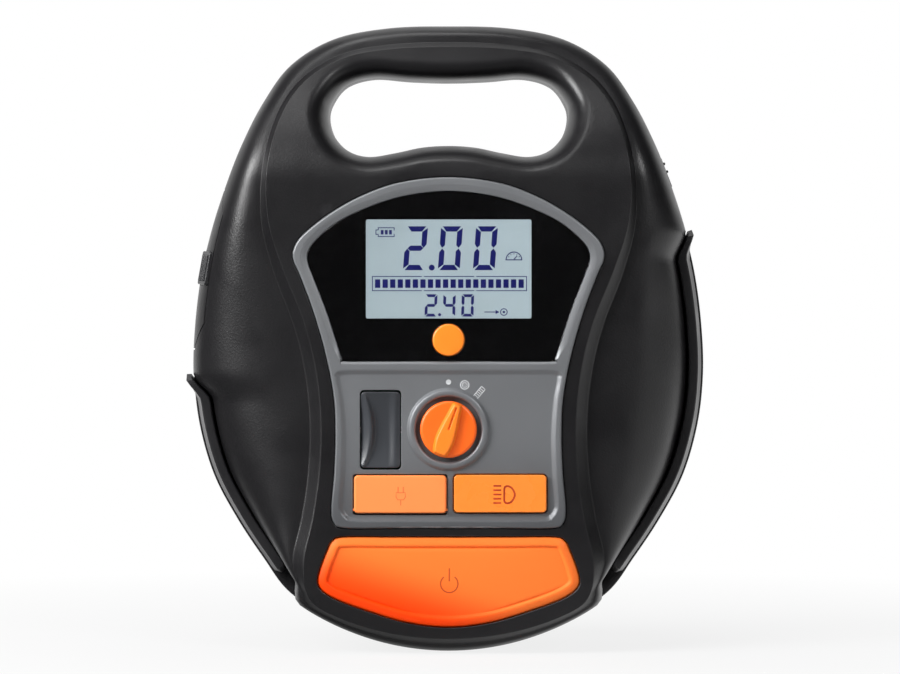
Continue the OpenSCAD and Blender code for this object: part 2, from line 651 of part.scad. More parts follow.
// Involute gear outline; the phase puts a tooth or a gap on +Y
function involute(rb, r) = let(a = acos(min(1, rb / r))) tan(a) * 180 / PI - a;
function gear_points(teeth, root, tip, play, phase) =
    let(rp = gear_module * teeth / 2, rb = rp * cos(20),
        half = 90 / teeth - play / rp * 90 / PI + involute(rb, rp),
        radii = [max(root, rb), (max(root, rb) + tip * 2) / 3, tip])
    [for (t = [0:teeth - 1]) let(mid = 90 + phase + t * 360 / teeth) each concat(
        [root * [cos(mid - half - 1), sin(mid - half - 1)]],
        [for (r = radii) let(a = mid - half + involute(rb, r)) r * [cos(a), sin(a)]],
        [for (k = [2:-1:0]) let(r = radii[k], a = mid + half - involute(rb, r)) r * [cos(a), sin(a)]],
        [root * [cos(mid + half + 1), sin(mid + half + 1)]])];
module gear(points, from, to) translate([from, 0, 0]) rotate([90, 0, 90]) linear_extrude(to - from)
    polygon(points);

module motor_can() color([0.7, 0.7, 0.72]) difference() {
    union() {
        rod(motor_y, motor_z, 18, -49, 7.9);
        rod(motor_y, motor_z, 6.5, 7, 10.5);
        rod(motor_y, motor_z, 6, -52, -48);
    }
    rod(motor_y, motor_z, 1.64, -10, 12);
    for (a = [45:90:315]) translate([4, motor_y, motor_z]) rotate([a, 0, 0]) brick([-1, 9, -2.5], [8, 15, 2.5]);
}

module motor_pinion() color([0.75, 0.65, 0.35]) {
    rod(motor_y, motor_z, 1.59, -8, gear_from + 0.5);
    translate([0, motor_y, motor_z]) gear(gear_points(pinion_teeth, 3.7, 5.9, 0.12, 0), gear_from, gear_to);
}

module gear_plate() color([0.62, 0.63, 0.65]) difference() {
    union() {
        translate([8, 0, 0]) rotate([90, 0, 90]) linear_extrude(3) polygon([
            [-6, 30], [30, 30], [36, 40], [36, 128], [26, 132], [-2, 132], [-8, 108], [-8, 40]]);
        brick([-6, 33, 60], [9, 36, 128]);
    }
    rod(motor_y, motor_z, 6.6, 6, 12);
    rod(motor_y, crank_z, 8, 6, 12);
}

module crank_bearing() color([0.8, 0.8, 0.82]) difference() {
    rod(motor_y, crank_z, 8, 7, 12);
    rod(motor_y, crank_z, 3.05, 6, 13);
}

module crank_gear() color([0.85, 0.83, 0.78]) {
    translate([0, motor_y, crank_z]) difference() {
        union() {
            gear(gear_points(crank_teeth, 20.6, 22.75, 0.12, 180 / crank_teeth), gear_from, gear_to);
            intersection() {
                rod(0, 0, 19, gear_to - 1, 21);
                brick([gear_to - 1, -20, -20], [21, 20, -4]);
            }
        }
        for (a = [45, 135, 225, 315]) rotate([a, 0, 0]) rod(13, 0, 3.2, gear_from - 1, 23);
    }
    rod(motor_y, crank_z, 3, 5, gear_from + 1);
    rod(motor_y, crank_z, 5, 12.3, gear_from + 1);
    rod(motor_y, crank_z + crank_throw, 2.5, gear_to - 1, 21);
}

module piston_rod() color([0.78, 0.79, 0.8]) difference() {
    union() {
        rod(motor_y, crank_z + crank_throw, 6.2, rod_x - 2.7, rod_x + 2.7);
        brick([rod_x - 2, motor_y - 3, crank_z + crank_throw + 4], [rod_x + 2, motor_y + 3, piston_top - 5]);
        translate([rod_x, motor_y, piston_top - 6]) cylinder(r = 9.6, h = 2.5);
        translate([rod_x, motor_y, piston_top - 1]) cylinder(r = 9.6, h = 1);
        translate([rod_x, motor_y, piston_top - 6]) cylinder(r = 7, h = 6);
    }
    rod(motor_y, crank_z + crank_throw, 3, rod_x - 4, rod_x + 4);
}

module piston_seal() color([0.85, 0.85, 0.82]) translate([rod_x, motor_y, piston_top - 3.5]) difference() {
    cylinder(r = cylinder_bore / 2 - 0.05, h = 2.5);
    translate([0, 0, -1]) cylinder(r = 7, h = 5);
}

module air_cylinder() color([0.72, 0.73, 0.75]) difference() {
    union() {
        translate([rod_x, motor_y, 105]) cylinder(r = 13.4, h = 24);
        for (k = [0:4]) translate([rod_x, motor_y, 108 + k * 4.4]) cylinder(r = 14.6, h = 1.4);
        brick([11, motor_y - 9, 109], [16, motor_y + 9, 125]);
    }
    translate([rod_x, motor_y, 104]) cylinder(r = cylinder_bore / 2, h = 26);
    brick([5, motor_y - 20, 100], [11, motor_y + 20, 132]);
}

module cylinder_head() color([0.66, 0.67, 0.69]) difference() {
    union() {
        translate([rod_x, motor_y, 129]) cylinder(r = 13.6, h = 15);
        rod(motor_y, 139, 4, rod_x, 42);
    }
    for (k = [-3:3]) translate([rod_x, motor_y + k * 3.6, 140]) brick([-16, -0.8, 0], [16, 0.8, 6]);
    translate([rod_x, motor_y, 128]) cylinder(r = 8, h = 6);
    rod(motor_y, 139, 2.6, 30, 44);
    translate([rod_x + 6, motor_y, 132]) cylinder(r = 1.5, h = 7);
}

line_points = [[36, motor_y, 139], [56, motor_y, 139],
    gland_at + (gland_len + 8) * [sin(gland_turn), 0, cos(gland_turn)]];
module tube(a, b, r) {
    d = b - a;
    translate(a) rotate([0, acos(d.z / norm(d)), atan2(d.y, d.x)]) cylinder(r = r, h = norm(d));
}
module air_line() color([0.85, 0.87, 0.9]) {
    tube(line_points[0], line_points[1], 2.6);
    translate(line_points[1]) sphere(r = 3);
    tube(line_points[1], line_points[2], 2.6);
    translate(line_points[2]) sphere(r = 3);
    at_gland() translate([0, 0, gland_len]) cylinder(r = 2.6, h = 8);
    at_gland() translate([0, 0, gland_len]) cylinder(r = gland_r - 0.2, h = 1.6);
}

module hose_gland() color([0.12, 0.12, 0.12]) at_gland() difference() {
    union() {
        cylinder(r = gland_r, h = gland_len);
        translate([0, 0, gland_len - 3.5]) cylinder(r = gland_r + 0.8, h = 2);
    }
    translate([0, 0, -1]) cylinder(r = hose_r + 0.05, h = gland_len + 2);
}

// ---------------------------------------------------------------- charging inlet

module charge_socket() color([0.15, 0.15, 0.16]) at_port() difference() {
    translate([0, 0, -16]) cylinder(r = 5.6, h = 13);
    translate([0, 0, -13]) cylinder(r = 3.2, h = 12);
}
module charge_cover() color([0.12, 0.12, 0.13]) at_port() {
    flap(14, 16, 0.5);
    for (y = [1.5, 5]) translate([0, y, 0]) tile(9, 1.2, 0.5, 0, 1.4);
}

// ---------------------------------------------------------------- side compartment

left_from = 78;         // stations of the silhouette that the door's skin covers
left_to = 92;
module side_door() color([0.1, 0.1, 0.11]) {
    difference() {
        intersection() {
            skin(concat(
                [for (k = [4:-1:0]) [for (i = [left_from:left_to]) shoulder(i, turns[k])]],
                [for (k = [1:6]) [for (i = [left_from:left_to]) rear_point(i, rear_profile[k])]]),
                [door_wall, 0, 0]);
            door_block(-door_gap, -150, -60);
        }
        at_hinge() difference() {
            cylinder(r = knuckle_r + 0.35, h = 26, center = true);
            cylinder(r = knuckle_r + 1, h = 12.4, center = true);
        }
        at_latch() tile(15.6, 14.6, 1.2, -1.1, 4);
        at_latch() brick([-4.2, -3.3, -6], [3.2, 3.3, 0]);
    }
    difference() {
        at_latch() brick([-9, -9, -4], [6.5, 9, -1.4]);
        at_latch() brick([-4.2, -3.3, -6], [3.2, 3.3, 0]);
    }
    at_hinge() difference() {
        union() {
            cylinder(r = knuckle_r, h = 12, center = true);
            brick([0, -4, -6], [knuckle_r, 0, 6]);
        }
        cylinder(r = 0.85, h = 20, center = true);
    }
}

module door_pin() color([0.7, 0.7, 0.72]) at_hinge() cylinder(r = 0.8, h = 25, center = true);

module door_latch() color([0.5, 0.5, 0.52]) at_latch() {
    translate([1, 0, 0]) tile(13, 14, 1.2, -1, 0.9);
    for (x = [-3, -1, 1, 3, 5]) translate([x, 0, 0]) tile(0.9, 11, 0.4, 0, 1.4);
    brick([-2, -3, -5], [3, 3, -0.5]);
}

module adaptor_tray() color([0.15, 0.15, 0.16]) {
    difference() {
        door_block(-0.6, -104, -65);
        translate([1.4, 0, 0]) intersection() {
            door_block(-2.2, -110, -66.8);
        }
        at_hinge() brick([-40, -80, -60], [7.5, 40, 60]);
    }
    for (z = [140, 160]) brick([-73, door_back - 1.5, z], [-65, rear_depth - wall, z + 7]);
}

// ---------------------------------------------------------------- lamp

module lamp_lens() color([0.9, 0.93, 0.95]) translate([lamp_at.x, 0, lamp_at.y]) slab(41, 43.8)
    polygon(round_rect(lamp_w, lamp_h, 3));
module lamp_reflector() color([0.85, 0.85, 0.86]) translate([lamp_at.x, 0, lamp_at.y]) difference() {
    slab(34, 41) polygon(round_rect(lamp_w + 6, lamp_h + 6, 3));
    for (x = [-10, 0, 10]) translate([x, 42, 0]) rotate([90, 0, 0]) cylinder(r1 = 5.2, r2 = 2.4, h = 9);
}
module led_board() color([0.9, 0.9, 0.85]) translate([lamp_at.x, 0, lamp_at.y]) {
    slab(32.4, 34) square([lamp_w, lamp_h], center = true);
    for (x = [-10, 0, 10]) translate([x, 34, 0]) slab(0, 1.2) square(3, center = true);
}

front_shell();
rear_shell();
left_rail();
right_rail();
control_panel();
display_lens();
lcd_glass();
lcd_backlight();
unit_button();
mode_knob();
mode_switch();
set_rocker();
rocker_pin();
usb_cover();
usb_socket();
light_button();
power_button();
main_board();
tact_switches();
board_screws();
pressure_sensor();
battery_cells();
battery_holder();
motor_can();
motor_pinion();
gear_plate();
crank_bearing();
crank_gear();
piston_rod();
piston_seal();
air_cylinder();
cylinder_head();
air_line();
hose_gland();
charge_socket();
charge_cover();
side_door();
door_pin();
door_latch();
adaptor_tray();
lamp_lens();
lamp_reflector();
led_board();
rear_feet();
case_screws();
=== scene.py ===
import math
import bmesh
import bpy
import numpy as np
from mathutils import Matrix, Vector
from mathutils.geometry import delaunay_2d_cdt


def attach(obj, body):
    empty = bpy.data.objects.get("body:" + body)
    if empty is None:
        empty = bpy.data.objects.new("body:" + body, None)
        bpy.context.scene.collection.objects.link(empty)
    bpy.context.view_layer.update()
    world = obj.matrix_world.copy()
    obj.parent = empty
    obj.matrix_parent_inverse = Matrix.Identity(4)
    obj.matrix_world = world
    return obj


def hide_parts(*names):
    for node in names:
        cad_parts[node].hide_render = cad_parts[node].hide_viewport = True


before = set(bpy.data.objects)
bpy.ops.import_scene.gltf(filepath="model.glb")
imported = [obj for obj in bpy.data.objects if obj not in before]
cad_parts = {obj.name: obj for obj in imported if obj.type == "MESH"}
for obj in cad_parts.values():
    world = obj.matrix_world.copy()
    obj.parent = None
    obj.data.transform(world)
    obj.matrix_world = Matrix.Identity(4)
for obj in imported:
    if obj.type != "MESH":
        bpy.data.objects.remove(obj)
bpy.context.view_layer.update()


# ---------------------------------------------------------------- studio
# A table-top product studio: a pale floor, a white surround and five soft boxes, the strongest to
# the left so that the moulded shoulders show their roundness. The camera stands level with the
# middle of the inflator, a metre and a half in front of it. Lengths of the studio are metres.

CAMERA_AT = (0.0006, -1.544, 0.1294)
CAMERA_FOCAL = 147.05
SENSOR = 36.0
FLOOR_HALF = 8.0
FLOOR_DROP = 0.0002
FLOOR_TONE = (0.49, 0.51)
SPECKLE_SCALE = 3.0
FILL_TONE = (0.8, 0.82, 0.85, 1)
FILL = 0.16

# Ramps, as (from, to, value there, value here): how white the floor is by distance from the inflator,
# how bright gloss sees it by x + y, and how bright gloss sees the surround by its direction along Y.
FLOOR_GLOW = (0.1, 0.5, 0.84, 1.0)
FLOOR_IN_GLOSS = (-0.12, 0.08, 0.04, 1.0)
SURROUND_IN_GLOSS = (0.55, 1.0, 0.03, 1.0)

# Each soft box: its place, the spot it faces, its side and its power in watts.
SOFT_BOXES = {
    "near": ((-0.42, -0.55, 0.6), (0.0, 0.0, 0.14), 0.35, 3.6),
    "left": ((-1.3, -0.7, 0.75), (0.0, 0.0, 0.14), 0.7, 28.0),
    "right": ((0.9, -1.3, 0.95), (0.0, 0.0, 0.14), 0.4, 8.0),
    "overhead": ((-0.2, -0.3, 1.6), (0.0, 0.0, 0.12), 0.6, 5.0),
    "top_back": ((0.0, 0.9, 1.9), (0.0, 0.0, 0.12), 1.2, 4.0),
}


def pointing(place, target):
    """A matrix at place whose -Z looks at target."""
    turn = (Vector(target) - Vector(place)).to_track_quat("-Z", "Y")
    return Matrix.Translation(place) @ turn.to_matrix().to_4x4()


def into_scene(name, data):
    thing = bpy.data.objects.new(name, data)
    bpy.context.scene.collection.objects.link(thing)
    return thing


def nodes_of(owner):
    """The makers of nodes and of links in a material's or world's tree, which is cleared."""
    owner.use_nodes = True
    owner.node_tree.nodes.clear()
    return owner.node_tree.nodes.new, owner.node_tree.links.new


camera_data = bpy.data.cameras.new("camera")
camera_data.lens = CAMERA_FOCAL
camera_data.sensor_width = SENSOR
camera_data.sensor_fit = "HORIZONTAL"
camera = into_scene("camera", camera_data)
camera.matrix_world = pointing(CAMERA_AT, (CAMERA_AT[0], 0, CAMERA_AT[2]))
bpy.context.scene.camera = camera
bpy.context.scene.view_settings.view_transform = "Standard"

for box_name, (place, target, side, power) in SOFT_BOXES.items():
    light = bpy.data.lights.new("soft_box_" + box_name, "AREA")
    light.shape = "SQUARE"
    light.size = side
    light.energy = power
    into_scene("soft_box_" + box_name, light).matrix_world = pointing(place, target)


def feed(link, value, socket):
    """Joins another node's output to a socket, or sets the socket to a plain value."""
    if hasattr(value, "is_linked"):
        link(value, socket)
    else:
        socket.default_value = value


def ranged(new, link, value, low, high, to_low, to_high, eased=False):
    """A value carried over from one range to another, clamped at both ends."""
    node = new("ShaderNodeMapRange")
    if eased:
        node.interpolation_type = "SMOOTHSTEP"
    link(value, node.inputs["Value"])
    for label, number in (("From Min", low), ("From Max", high), ("To Min", to_low), ("To Max", to_high)):
        feed(link, number, node.inputs[label])
    return node.outputs["Result"]


def maths(new, link, operation, a, b):
    node = new("ShaderNodeMath")
    node.operation = operation
    feed(link, a, node.inputs[0])
    feed(link, b, node.inputs[1])
    return node.outputs[0]


def axes_of(new, link, kind="Object"):
    """The X, Y and Z of the points that are shaded."""
    apart = new("ShaderNodeSeparateXYZ")
    link(new("ShaderNodeTexCoord").outputs[kind], apart.inputs[0])
    return apart.outputs


def noise(new, link, scale, detail=2.0, distortion=0.0, where=None):
    """A noise pattern, in the object's own coordinates unless told where."""
    node = new("ShaderNodeTexNoise")
    feed(link, scale, node.inputs["Scale"])
    node.inputs["Detail"].default_value = detail
    node.inputs["Distortion"].default_value = distortion
    link(where or new("ShaderNodeTexCoord").outputs["Object"], node.inputs["Vector"])
    return node.outputs["Fac"]


def mixed_by(new, link, share, plain, other):
    """The outlet of a mix of two shaders."""
    node = new("ShaderNodeMixShader")
    for value, socket in zip((share, plain.outputs[0], other.outputs[0]), node.inputs):
        link(value, socket)
    return node.outputs[0]


def seen_by_eye(new, link):
    """1 for rays straight from the camera, and 1 for those and the rays of gloss and of clear glass."""
    path = new("ShaderNodeLightPath").outputs
    both = maths(new, link, "MAXIMUM", path["Is Camera Ray"], path["Is Glossy Ray"])
    return path["Is Camera Ray"], maths(new, link, "MAXIMUM", both, path["Is Transmission Ray"])


world = bpy.data.worlds.new("white_surround")
bpy.context.scene.world = world
new, link = nodes_of(world)
straight, eye = seen_by_eye(new, link)
seen = new("ShaderNodeBackground")
seen.inputs["Color"].default_value = (1, 1, 1, 1)
in_gloss = ranged(new, link, axes_of(new, link, "Generated")["Y"], *SURROUND_IN_GLOSS)
link(maths(new, link, "MAXIMUM", straight, in_gloss), seen.inputs["Strength"])
fill = new("ShaderNodeBackground")
fill.inputs["Color"].default_value = FILL_TONE
fill.inputs["Strength"].default_value = FILL
link(mixed_by(new, link, eye, fill, seen), new("ShaderNodeOutputWorld").inputs["Surface"])

floor_paint = bpy.data.materials.new("floor_paint")
new, link = nodes_of(floor_paint)
straight, eye = seen_by_eye(new, link)
matt = new("ShaderNodeBsdfDiffuse")
link(ranged(new, link, noise(new, link, SPECKLE_SCALE), 0.0, 1.0, *FLOOR_TONE), matt.inputs["Color"])
along = axes_of(new, link)
in_gloss = ranged(new, link, maths(new, link, "ADD", along["Y"], along["X"]), *FLOOR_IN_GLOSS)
bright = new("ShaderNodeEmission")
link(maths(new, link, "MAXIMUM", straight, in_gloss), bright.inputs["Strength"])
distance = new("ShaderNodeVectorMath")
distance.operation = "LENGTH"
link(new("ShaderNodeTexCoord").outputs["Object"], distance.inputs[0])
share = maths(new, link, "MULTIPLY", ranged(new, link, distance.outputs["Value"], *FLOOR_GLOW), eye)
link(mixed_by(new, link, share, matt, bright), new("ShaderNodeOutputMaterial").inputs["Surface"])

floor_mesh = bpy.data.meshes.new("floor")
floor_mesh.from_pydata([(x * FLOOR_HALF, y * FLOOR_HALF, -FLOOR_DROP)
                        for x, y in ((-1, -1), (1, -1), (1, 1), (-1, 1))], [], [(0, 1, 2, 3)])
floor_mesh.materials.append(floor_paint)
into_scene("floor", floor_mesh)


# ---------------------------------------------------------------- rear shell
# The back half of the housing, injection moulded in black ABS with a fine spark-eroded grain. It
# carries the hose channel round its lower edge, the vents, the seats of the six case screws and
# half of the handle. Lengths in the making of meshes are millimetres.

MM = 0.001
HALF_OUTLINE = [
    (0, 259.6), (25, 258.8), (48, 254.2), (66, 243.3), (77.5, 227.5), (86.5, 209.5), (93.5, 191.5),
    (99.3, 173.5), (103.6, 155), (106.2, 134.5), (106.9, 114), (104.6, 93), (98.6, 72), (89, 53.7),
    (77.8, 36.8), (66.5, 22), (47, 9.9), (24, 1.9), (0, -0.8)]
HALF_GRIP = [
    (0, 236.4), (16, 236.9), (31, 237.9), (42.5, 234.6), (48.6, 227.2), (49.9, 220.5), (47.4, 212.8),
    (41.5, 206.6), (33, 204.2), (22, 205.8), (11, 208.1), (0, 208.8)]
SPAN_STEPS = 8
REAR_DEPTH = 44.0
HANDLE_TAPER = 0.58
TAPER_FROM, TAPER_TO = 194.0, 256.0
SHELL_WALL = 2.7
CHANNEL_DEPTH = 7.5
RAIL_OUT = 7.2
RAIL_END = {1: 182.0, -1: 122.0}
RAIL_LOW = 19.0
FADE = 8.0
MIDDLE = np.array([0.0, 125.0])
BACK_REACH = 105.0
GRIP_ROUND = 8.5
GRIP_STRAIGHT = 0.35
GRIP_STEPS = 12

# The back's section as (distance in from the edge, depth), its seam and hose channel as (distance in,
# depth, share of the channel's depth), and the distances in at which inner points follow its curve.
BACK_CURVE = [(0.2, 8), (0.4, 13.8), (1.2, 21), (3.2, 29), (6.6, 35.5), (11.5, 40), (17.5, 42.8),
              (25, 44), (36, 44)]
BACK_SEAM = [(0.55, 0.0, 0), (0.2, 0.15, 0), (0.0, 0.5, 0), (0.0, 1.8, 0), (0.03, 2.2, 0.12),
             (0.06, 2.6, 0.75), (0.1, 3.1, 1), (0.2, 12.2, 1), (0.25, 12.8, 0.8), (0.33, 13.3, 0.15)]
CONTOURS = (9.5, 11.5, 14, 17, 20.5)
SHEET_FROM = 8.0

# Screws as (x, z, depth of the seat), openings as (width, height, corner radius) and bores as
# (radius, from, to).
SCREWS = [(side * x, z, seat) for side in (-1, 1)
          for x, z, seat in ((66, 52, 16.0), (59, 172, 16.0), (60, 240, 7.0))]
SCREW_HEAD_R = 3.1
VENTS = [(side * 19, 74 + 7 * row) for row in range(7) for side in (-1, 1)]
VENT_SIZE = (30.0, 3.0, 1.45)
LAMP_AT = (0.0, 148.0)
LAMP_SIZE = (34.0, 15.0, 3.0)
GLAND_BORE = (5.4, -8.0, 26.0)
LAMP_GAP = 0.2
EDGE_ROUND = 0.45
DOOR_LOW, DOOR_HIGH = 124.0, 191.0
DOOR_BACK, DOOR_FRONT_LOW, DOOR_FRONT_HIGH = 24.0, -23.5, -29.0
DOOR_CLIP = 11.0
DOOR_CUT = (-150.0, -60.0)
WELL_END = 60.0
MESH_JOIN, MESH_SLIVER = 0.004, 0.001
BLACK = (0.0092, 0.0088, 0.0098)
ABOVE_ALL = 9.0


def frame_at(place, *turns):
    """A frame at a place in metres, turned step by step by (degrees, axis)."""
    matrix = Matrix.Translation(place)
    for degrees, axis in turns:
        matrix = matrix @ Matrix.Rotation(math.radians(degrees), 4, axis)
    return matrix


PORT_PLACE, PORT_TURN = (0.0913, 0.001, 0.197), (-21, "Y")
PORT_INWARD = frame_at(PORT_PLACE, PORT_TURN, (90, "X"), (90, "Y"))
GLAND_FRAME = frame_at((0.0945, 0.0077, 0.167), (-50, "Y"))


def both_sides(half):
    """A right half, from top centre to bottom centre, closed by its mirror image."""
    return half + [(-x, z) for x, z in reversed(half[1:-1])]


def spline(a, b, c, d, t):
    """The point at share t of the way from b to c, on a smooth curve through all four."""
    curve = 2 * b + (c - a) * t + (2 * a - 5 * b + 4 * c - d) * t ** 2 + (3 * b - a - 3 * c + d) * t ** 3
    return curve / 2


def smooth_loop(points, steps=SPAN_STEPS):
    """A closed smooth curve through points."""
    p = np.array(points, float)
    a, b, c, d = (np.roll(p, k, 0)[:, None, :] for k in (1, 0, -1, -2))
    return spline(a, b, c, d, (np.arange(steps) / steps)[None, :, None]).reshape(-1, 2)


def inward(loop):
    """The direction into a loop at each of its points."""
    d = np.roll(loop, -1, 0) - np.roll(loop, 1, 0)
    n = np.stack([d[:, 1], -d[:, 0]], 1)
    return n / np.linalg.norm(n, axis=1, keepdims=True)


def inset(loop, distance):
    return loop + inward(loop) * distance


def ease(t):
    """A soft step from 0 to 1."""
    t = np.clip(t, 0, 1)
    return t * t * (3 - 2 * t)


def thin(z):
    """Share of its depth that the housing keeps at a height: it tapers towards the handle."""
    return 1 - HANDLE_TAPER * ease((z - TAPER_FROM) / (TAPER_TO - TAPER_FROM))


def lifted(loop, y):
    """A flat loop at a depth, thinned towards the handle and cut flat where it stands."""
    x, z = loop[:, 0], loop[:, 1]
    return np.stack([x, y * thin(z), np.maximum(0, z)], 1)


def level(loop, y):
    """A flat loop at one depth."""
    return np.stack([loop[:, 0], np.full(len(loop), float(y)), loop[:, 1]], 1)


def on_z(loop, z):
    """A flat loop of (x, y) of a frame, at one height of it."""
    return np.stack([loop[:, 0], loop[:, 1], np.full(len(loop), float(z))], 1)


def draped(loop, surface, share=1.0, shift=0.0):
    """A loop laid on a surface of depths over (x, z)."""
    return np.stack([loop[:, 0], surface(loop[:, 0], loop[:, 1]) * share + shift, loop[:, 1]], 1)


def quarter(radius, steps=3):
    """Steps of a rounded edge, as (radius less the sine, radius less the cosine)."""
    for k in range(steps + 1):
        a = math.pi / 2 * k / steps
        yield radius * (1 - math.sin(a)), radius * (1 - math.cos(a))


def rounded_box(width, height, radius, steps=6, at=(0, 0)):
    """A rectangle with round corners, clockwise from its upper right."""
    corners = []
    for q, (sx, sz) in enumerate(((1, 1), (1, -1), (-1, -1), (-1, 1))):
        for k in range(steps + 1):
            a = math.radians(90 - 90 * (q + k / steps))
            corners.append((at[0] + sx * (width / 2 - radius) + radius * math.cos(a),
                            at[1] + sz * (height / 2 - radius) + radius * math.sin(a)))
    return np.array(corners)


def circle(radius, steps=48, at=(0, 0)):
    """A circle, clockwise."""
    a = -np.arange(steps) * 2 * math.pi / steps
    return np.stack([at[0] + radius * np.cos(a), at[1] + radius * np.sin(a)], 1)


def within(points, loop):
    """Which flat points lie inside a loop."""
    x, z = points[:, 0][:, None], points[:, 1][:, None]
    x0, z0 = loop[:, 0][None], loop[:, 1][None]
    x1, z1 = np.roll(loop, -1, 0)[:, 0][None], np.roll(loop, -1, 0)[:, 1][None]
    crosses = (z0 > z) != (z1 > z)
    reach = x0 + (z - z0) * (x1 - x0) / np.where(z1 == z0, 1e-9, z1 - z0)
    return (np.sum(crosses & (x < reach), axis=1) % 2) == 1


class Moulding:
    """The points and faces of one piece, gathered patch by patch."""

    def __init__(self):
        self.points, self.faces = [], []

    def add(self, ring):
        start = len(self.points)
        self.points.extend(map(tuple, ring))
        return start

    def strip(self, rings, closed=True):
        """Joins each ring to the next one by quadrilaterals."""
        count = len(rings[0])
        starts = [self.add(ring) for ring in rings]
        for a, b in zip(starts, starts[1:]):
            for i in range(count if closed else count - 1):
                j = (i + 1) % count
                self.faces.append((a + i, a + j, b + j, b + i))

    def cap(self, ring):
        start = self.add(ring)
        self.faces.append(tuple(range(start, start + len(ring))))

    def block(self, rings):
        """A strip that is closed at both its ends."""
        self.strip(rings)
        self.cap(rings[0])
        self.cap(rings[-1])

    def sheet(self, outline, holes, height, pitch, extra=None):
        """Triangles between an outline and its holes, with inner points at height(x, z)."""
        loops = [outline, *holes]
        flat = [loop[:, [0, 2]] for loop in loops]
        low, high = flat[0].min(0), flat[0].max(0)
        rows = np.arange(low[1], high[1], pitch * 0.87)
        grid = np.array([(x + pitch / 2 * (k % 2), z) for k, z in enumerate(rows)
                         for x in np.arange(low[0], high[0], pitch)])
        if extra is not None:
            grid = np.concatenate([grid, extra])
        keep = within(grid, flat[0])
        for loop in flat[1:]:
            keep &= ~within(grid, loop)
        grid = grid[keep]
        start = np.concatenate(flat)
        run = np.concatenate([np.roll(loop, -1, 0) for loop in flat]) - start
        gaps = []
        for part in np.array_split(grid, max(1, len(grid) // 2000)):
            away = part[:, None] - start
            share = np.clip((away * run).sum(2) / np.maximum(1e-12, (run ** 2).sum(1)), 0, 1)
            gaps.append(np.linalg.norm(away - run * share[..., None], axis=2).min(1))
        grid = grid[np.concatenate(gaps) > 0.36 * pitch]
        every = np.concatenate([*loops, draped(grid, height)])
        edges, first = [], 0
        for loop in loops:
            edges += [(first + i, first + (i + 1) % len(loop)) for i in range(len(loop))]
            first += len(loop)
        spots, _, faces, origin, _, _ = delaunay_2d_cdt(
            [Vector((p[0], p[2])) for p in every], edges, [], 0, 1e-7)
        start = self.add(every[[ids[0] for ids in origin]])
        flat_spots = np.array([tuple(s) for s in spots])
        centres = np.array([flat_spots[list(f)].mean(0) for f in faces])
        good = within(centres, flat[0])
        for loop in flat[1:]:
            good &= ~within(centres, loop)
        self.faces += [tuple(start + i for i in f) for f, ok in zip(faces, good) if ok]

    def object(self, name, material=None, wall=0.0, place=None):
        """The merged mesh as an object; wall gives an open skin its thickness inwards."""
        mesh = bpy.data.meshes.new(name)
        mesh.from_pydata([tuple(c * MM for c in p) for p in self.points], [], self.faces)
        if material:
            mesh.materials.append(material)
        if place is not None:
            mesh.transform(place)
        work = bmesh.new()
        work.from_mesh(mesh)
        bmesh.ops.remove_doubles(work, verts=work.verts, dist=MESH_JOIN * MM)
        bmesh.ops.dissolve_degenerate(work, edges=work.edges, dist=MESH_SLIVER * MM)
        bmesh.ops.recalc_face_normals(work, faces=work.faces)
        work.to_mesh(mesh)
        work.free()
        thing = into_scene(name, mesh)
        if wall:
            thicken(thing, wall)
        return thing


def bake_modifiers(thing):
    """Makes the result of an object's modifiers its plain mesh."""
    state = bpy.context.evaluated_depsgraph_get()
    mesh = bpy.data.meshes.new_from_object(thing.evaluated_get(state))
    old = thing.data
    thing.modifiers.clear()
    thing.data = mesh
    bpy.data.meshes.remove(old)


def thicken(thing, wall):
    """Gives an open skin a thickness inwards."""
    solid = thing.modifiers.new("wall", "SOLIDIFY")
    solid.thickness = wall * MM
    solid.offset = -1
    bake_modifiers(thing)


def carve(thing, cutters, operation="DIFFERENCE", solver="EXACT"):
    """Cuts other objects out of a piece, or keeps what they share, and removes them."""
    for cutter in cutters:
        cut = thing.modifiers.new("cut", "BOOLEAN")
        cut.operation = operation
        cut.object = cutter
        cut.solver = solver
    bake_modifiers(thing)
    for cutter in cutters:
        bpy.data.objects.remove(cutter)


def block_between(name, ends, place=None):
    """A straight block between two rings."""
    shape = Moulding()
    shape.block(ends)
    return shape.object(name, place=place)


def ready(thing, body, *nodes, slot=None, sharp=32):
    """Shades a finished piece, fixes it to its body and lets it stand for its CAD nodes."""
    thing.data.shade_smooth()
    thing.data.set_sharp_from_angle(angle=math.radians(sharp))
    even = thing.modifiers.new("even", "WEIGHTED_NORMAL")
    even.keep_sharp = True
    bake_modifiers(thing)
    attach(thing, body)
    if nodes:
        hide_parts(*nodes)
    return thing


FLOAT = "NodeSocketFloat"


def shader_group(name, inputs, outputs):
    """An empty shader node group with named sockets, ready to be filled."""
    group = bpy.data.node_groups.new(name, "ShaderNodeTree")
    for label, value in inputs:
        group.interface.new_socket(label, in_out="INPUT", socket_type=FLOAT).default_value = value
    for label in outputs:
        group.interface.new_socket(label, in_out="OUTPUT", socket_type=FLOAT)
    new, link = group.nodes.new, group.links.new
    return group, new, link, new("NodeGroupInput").outputs, new("NodeGroupOutput").inputs


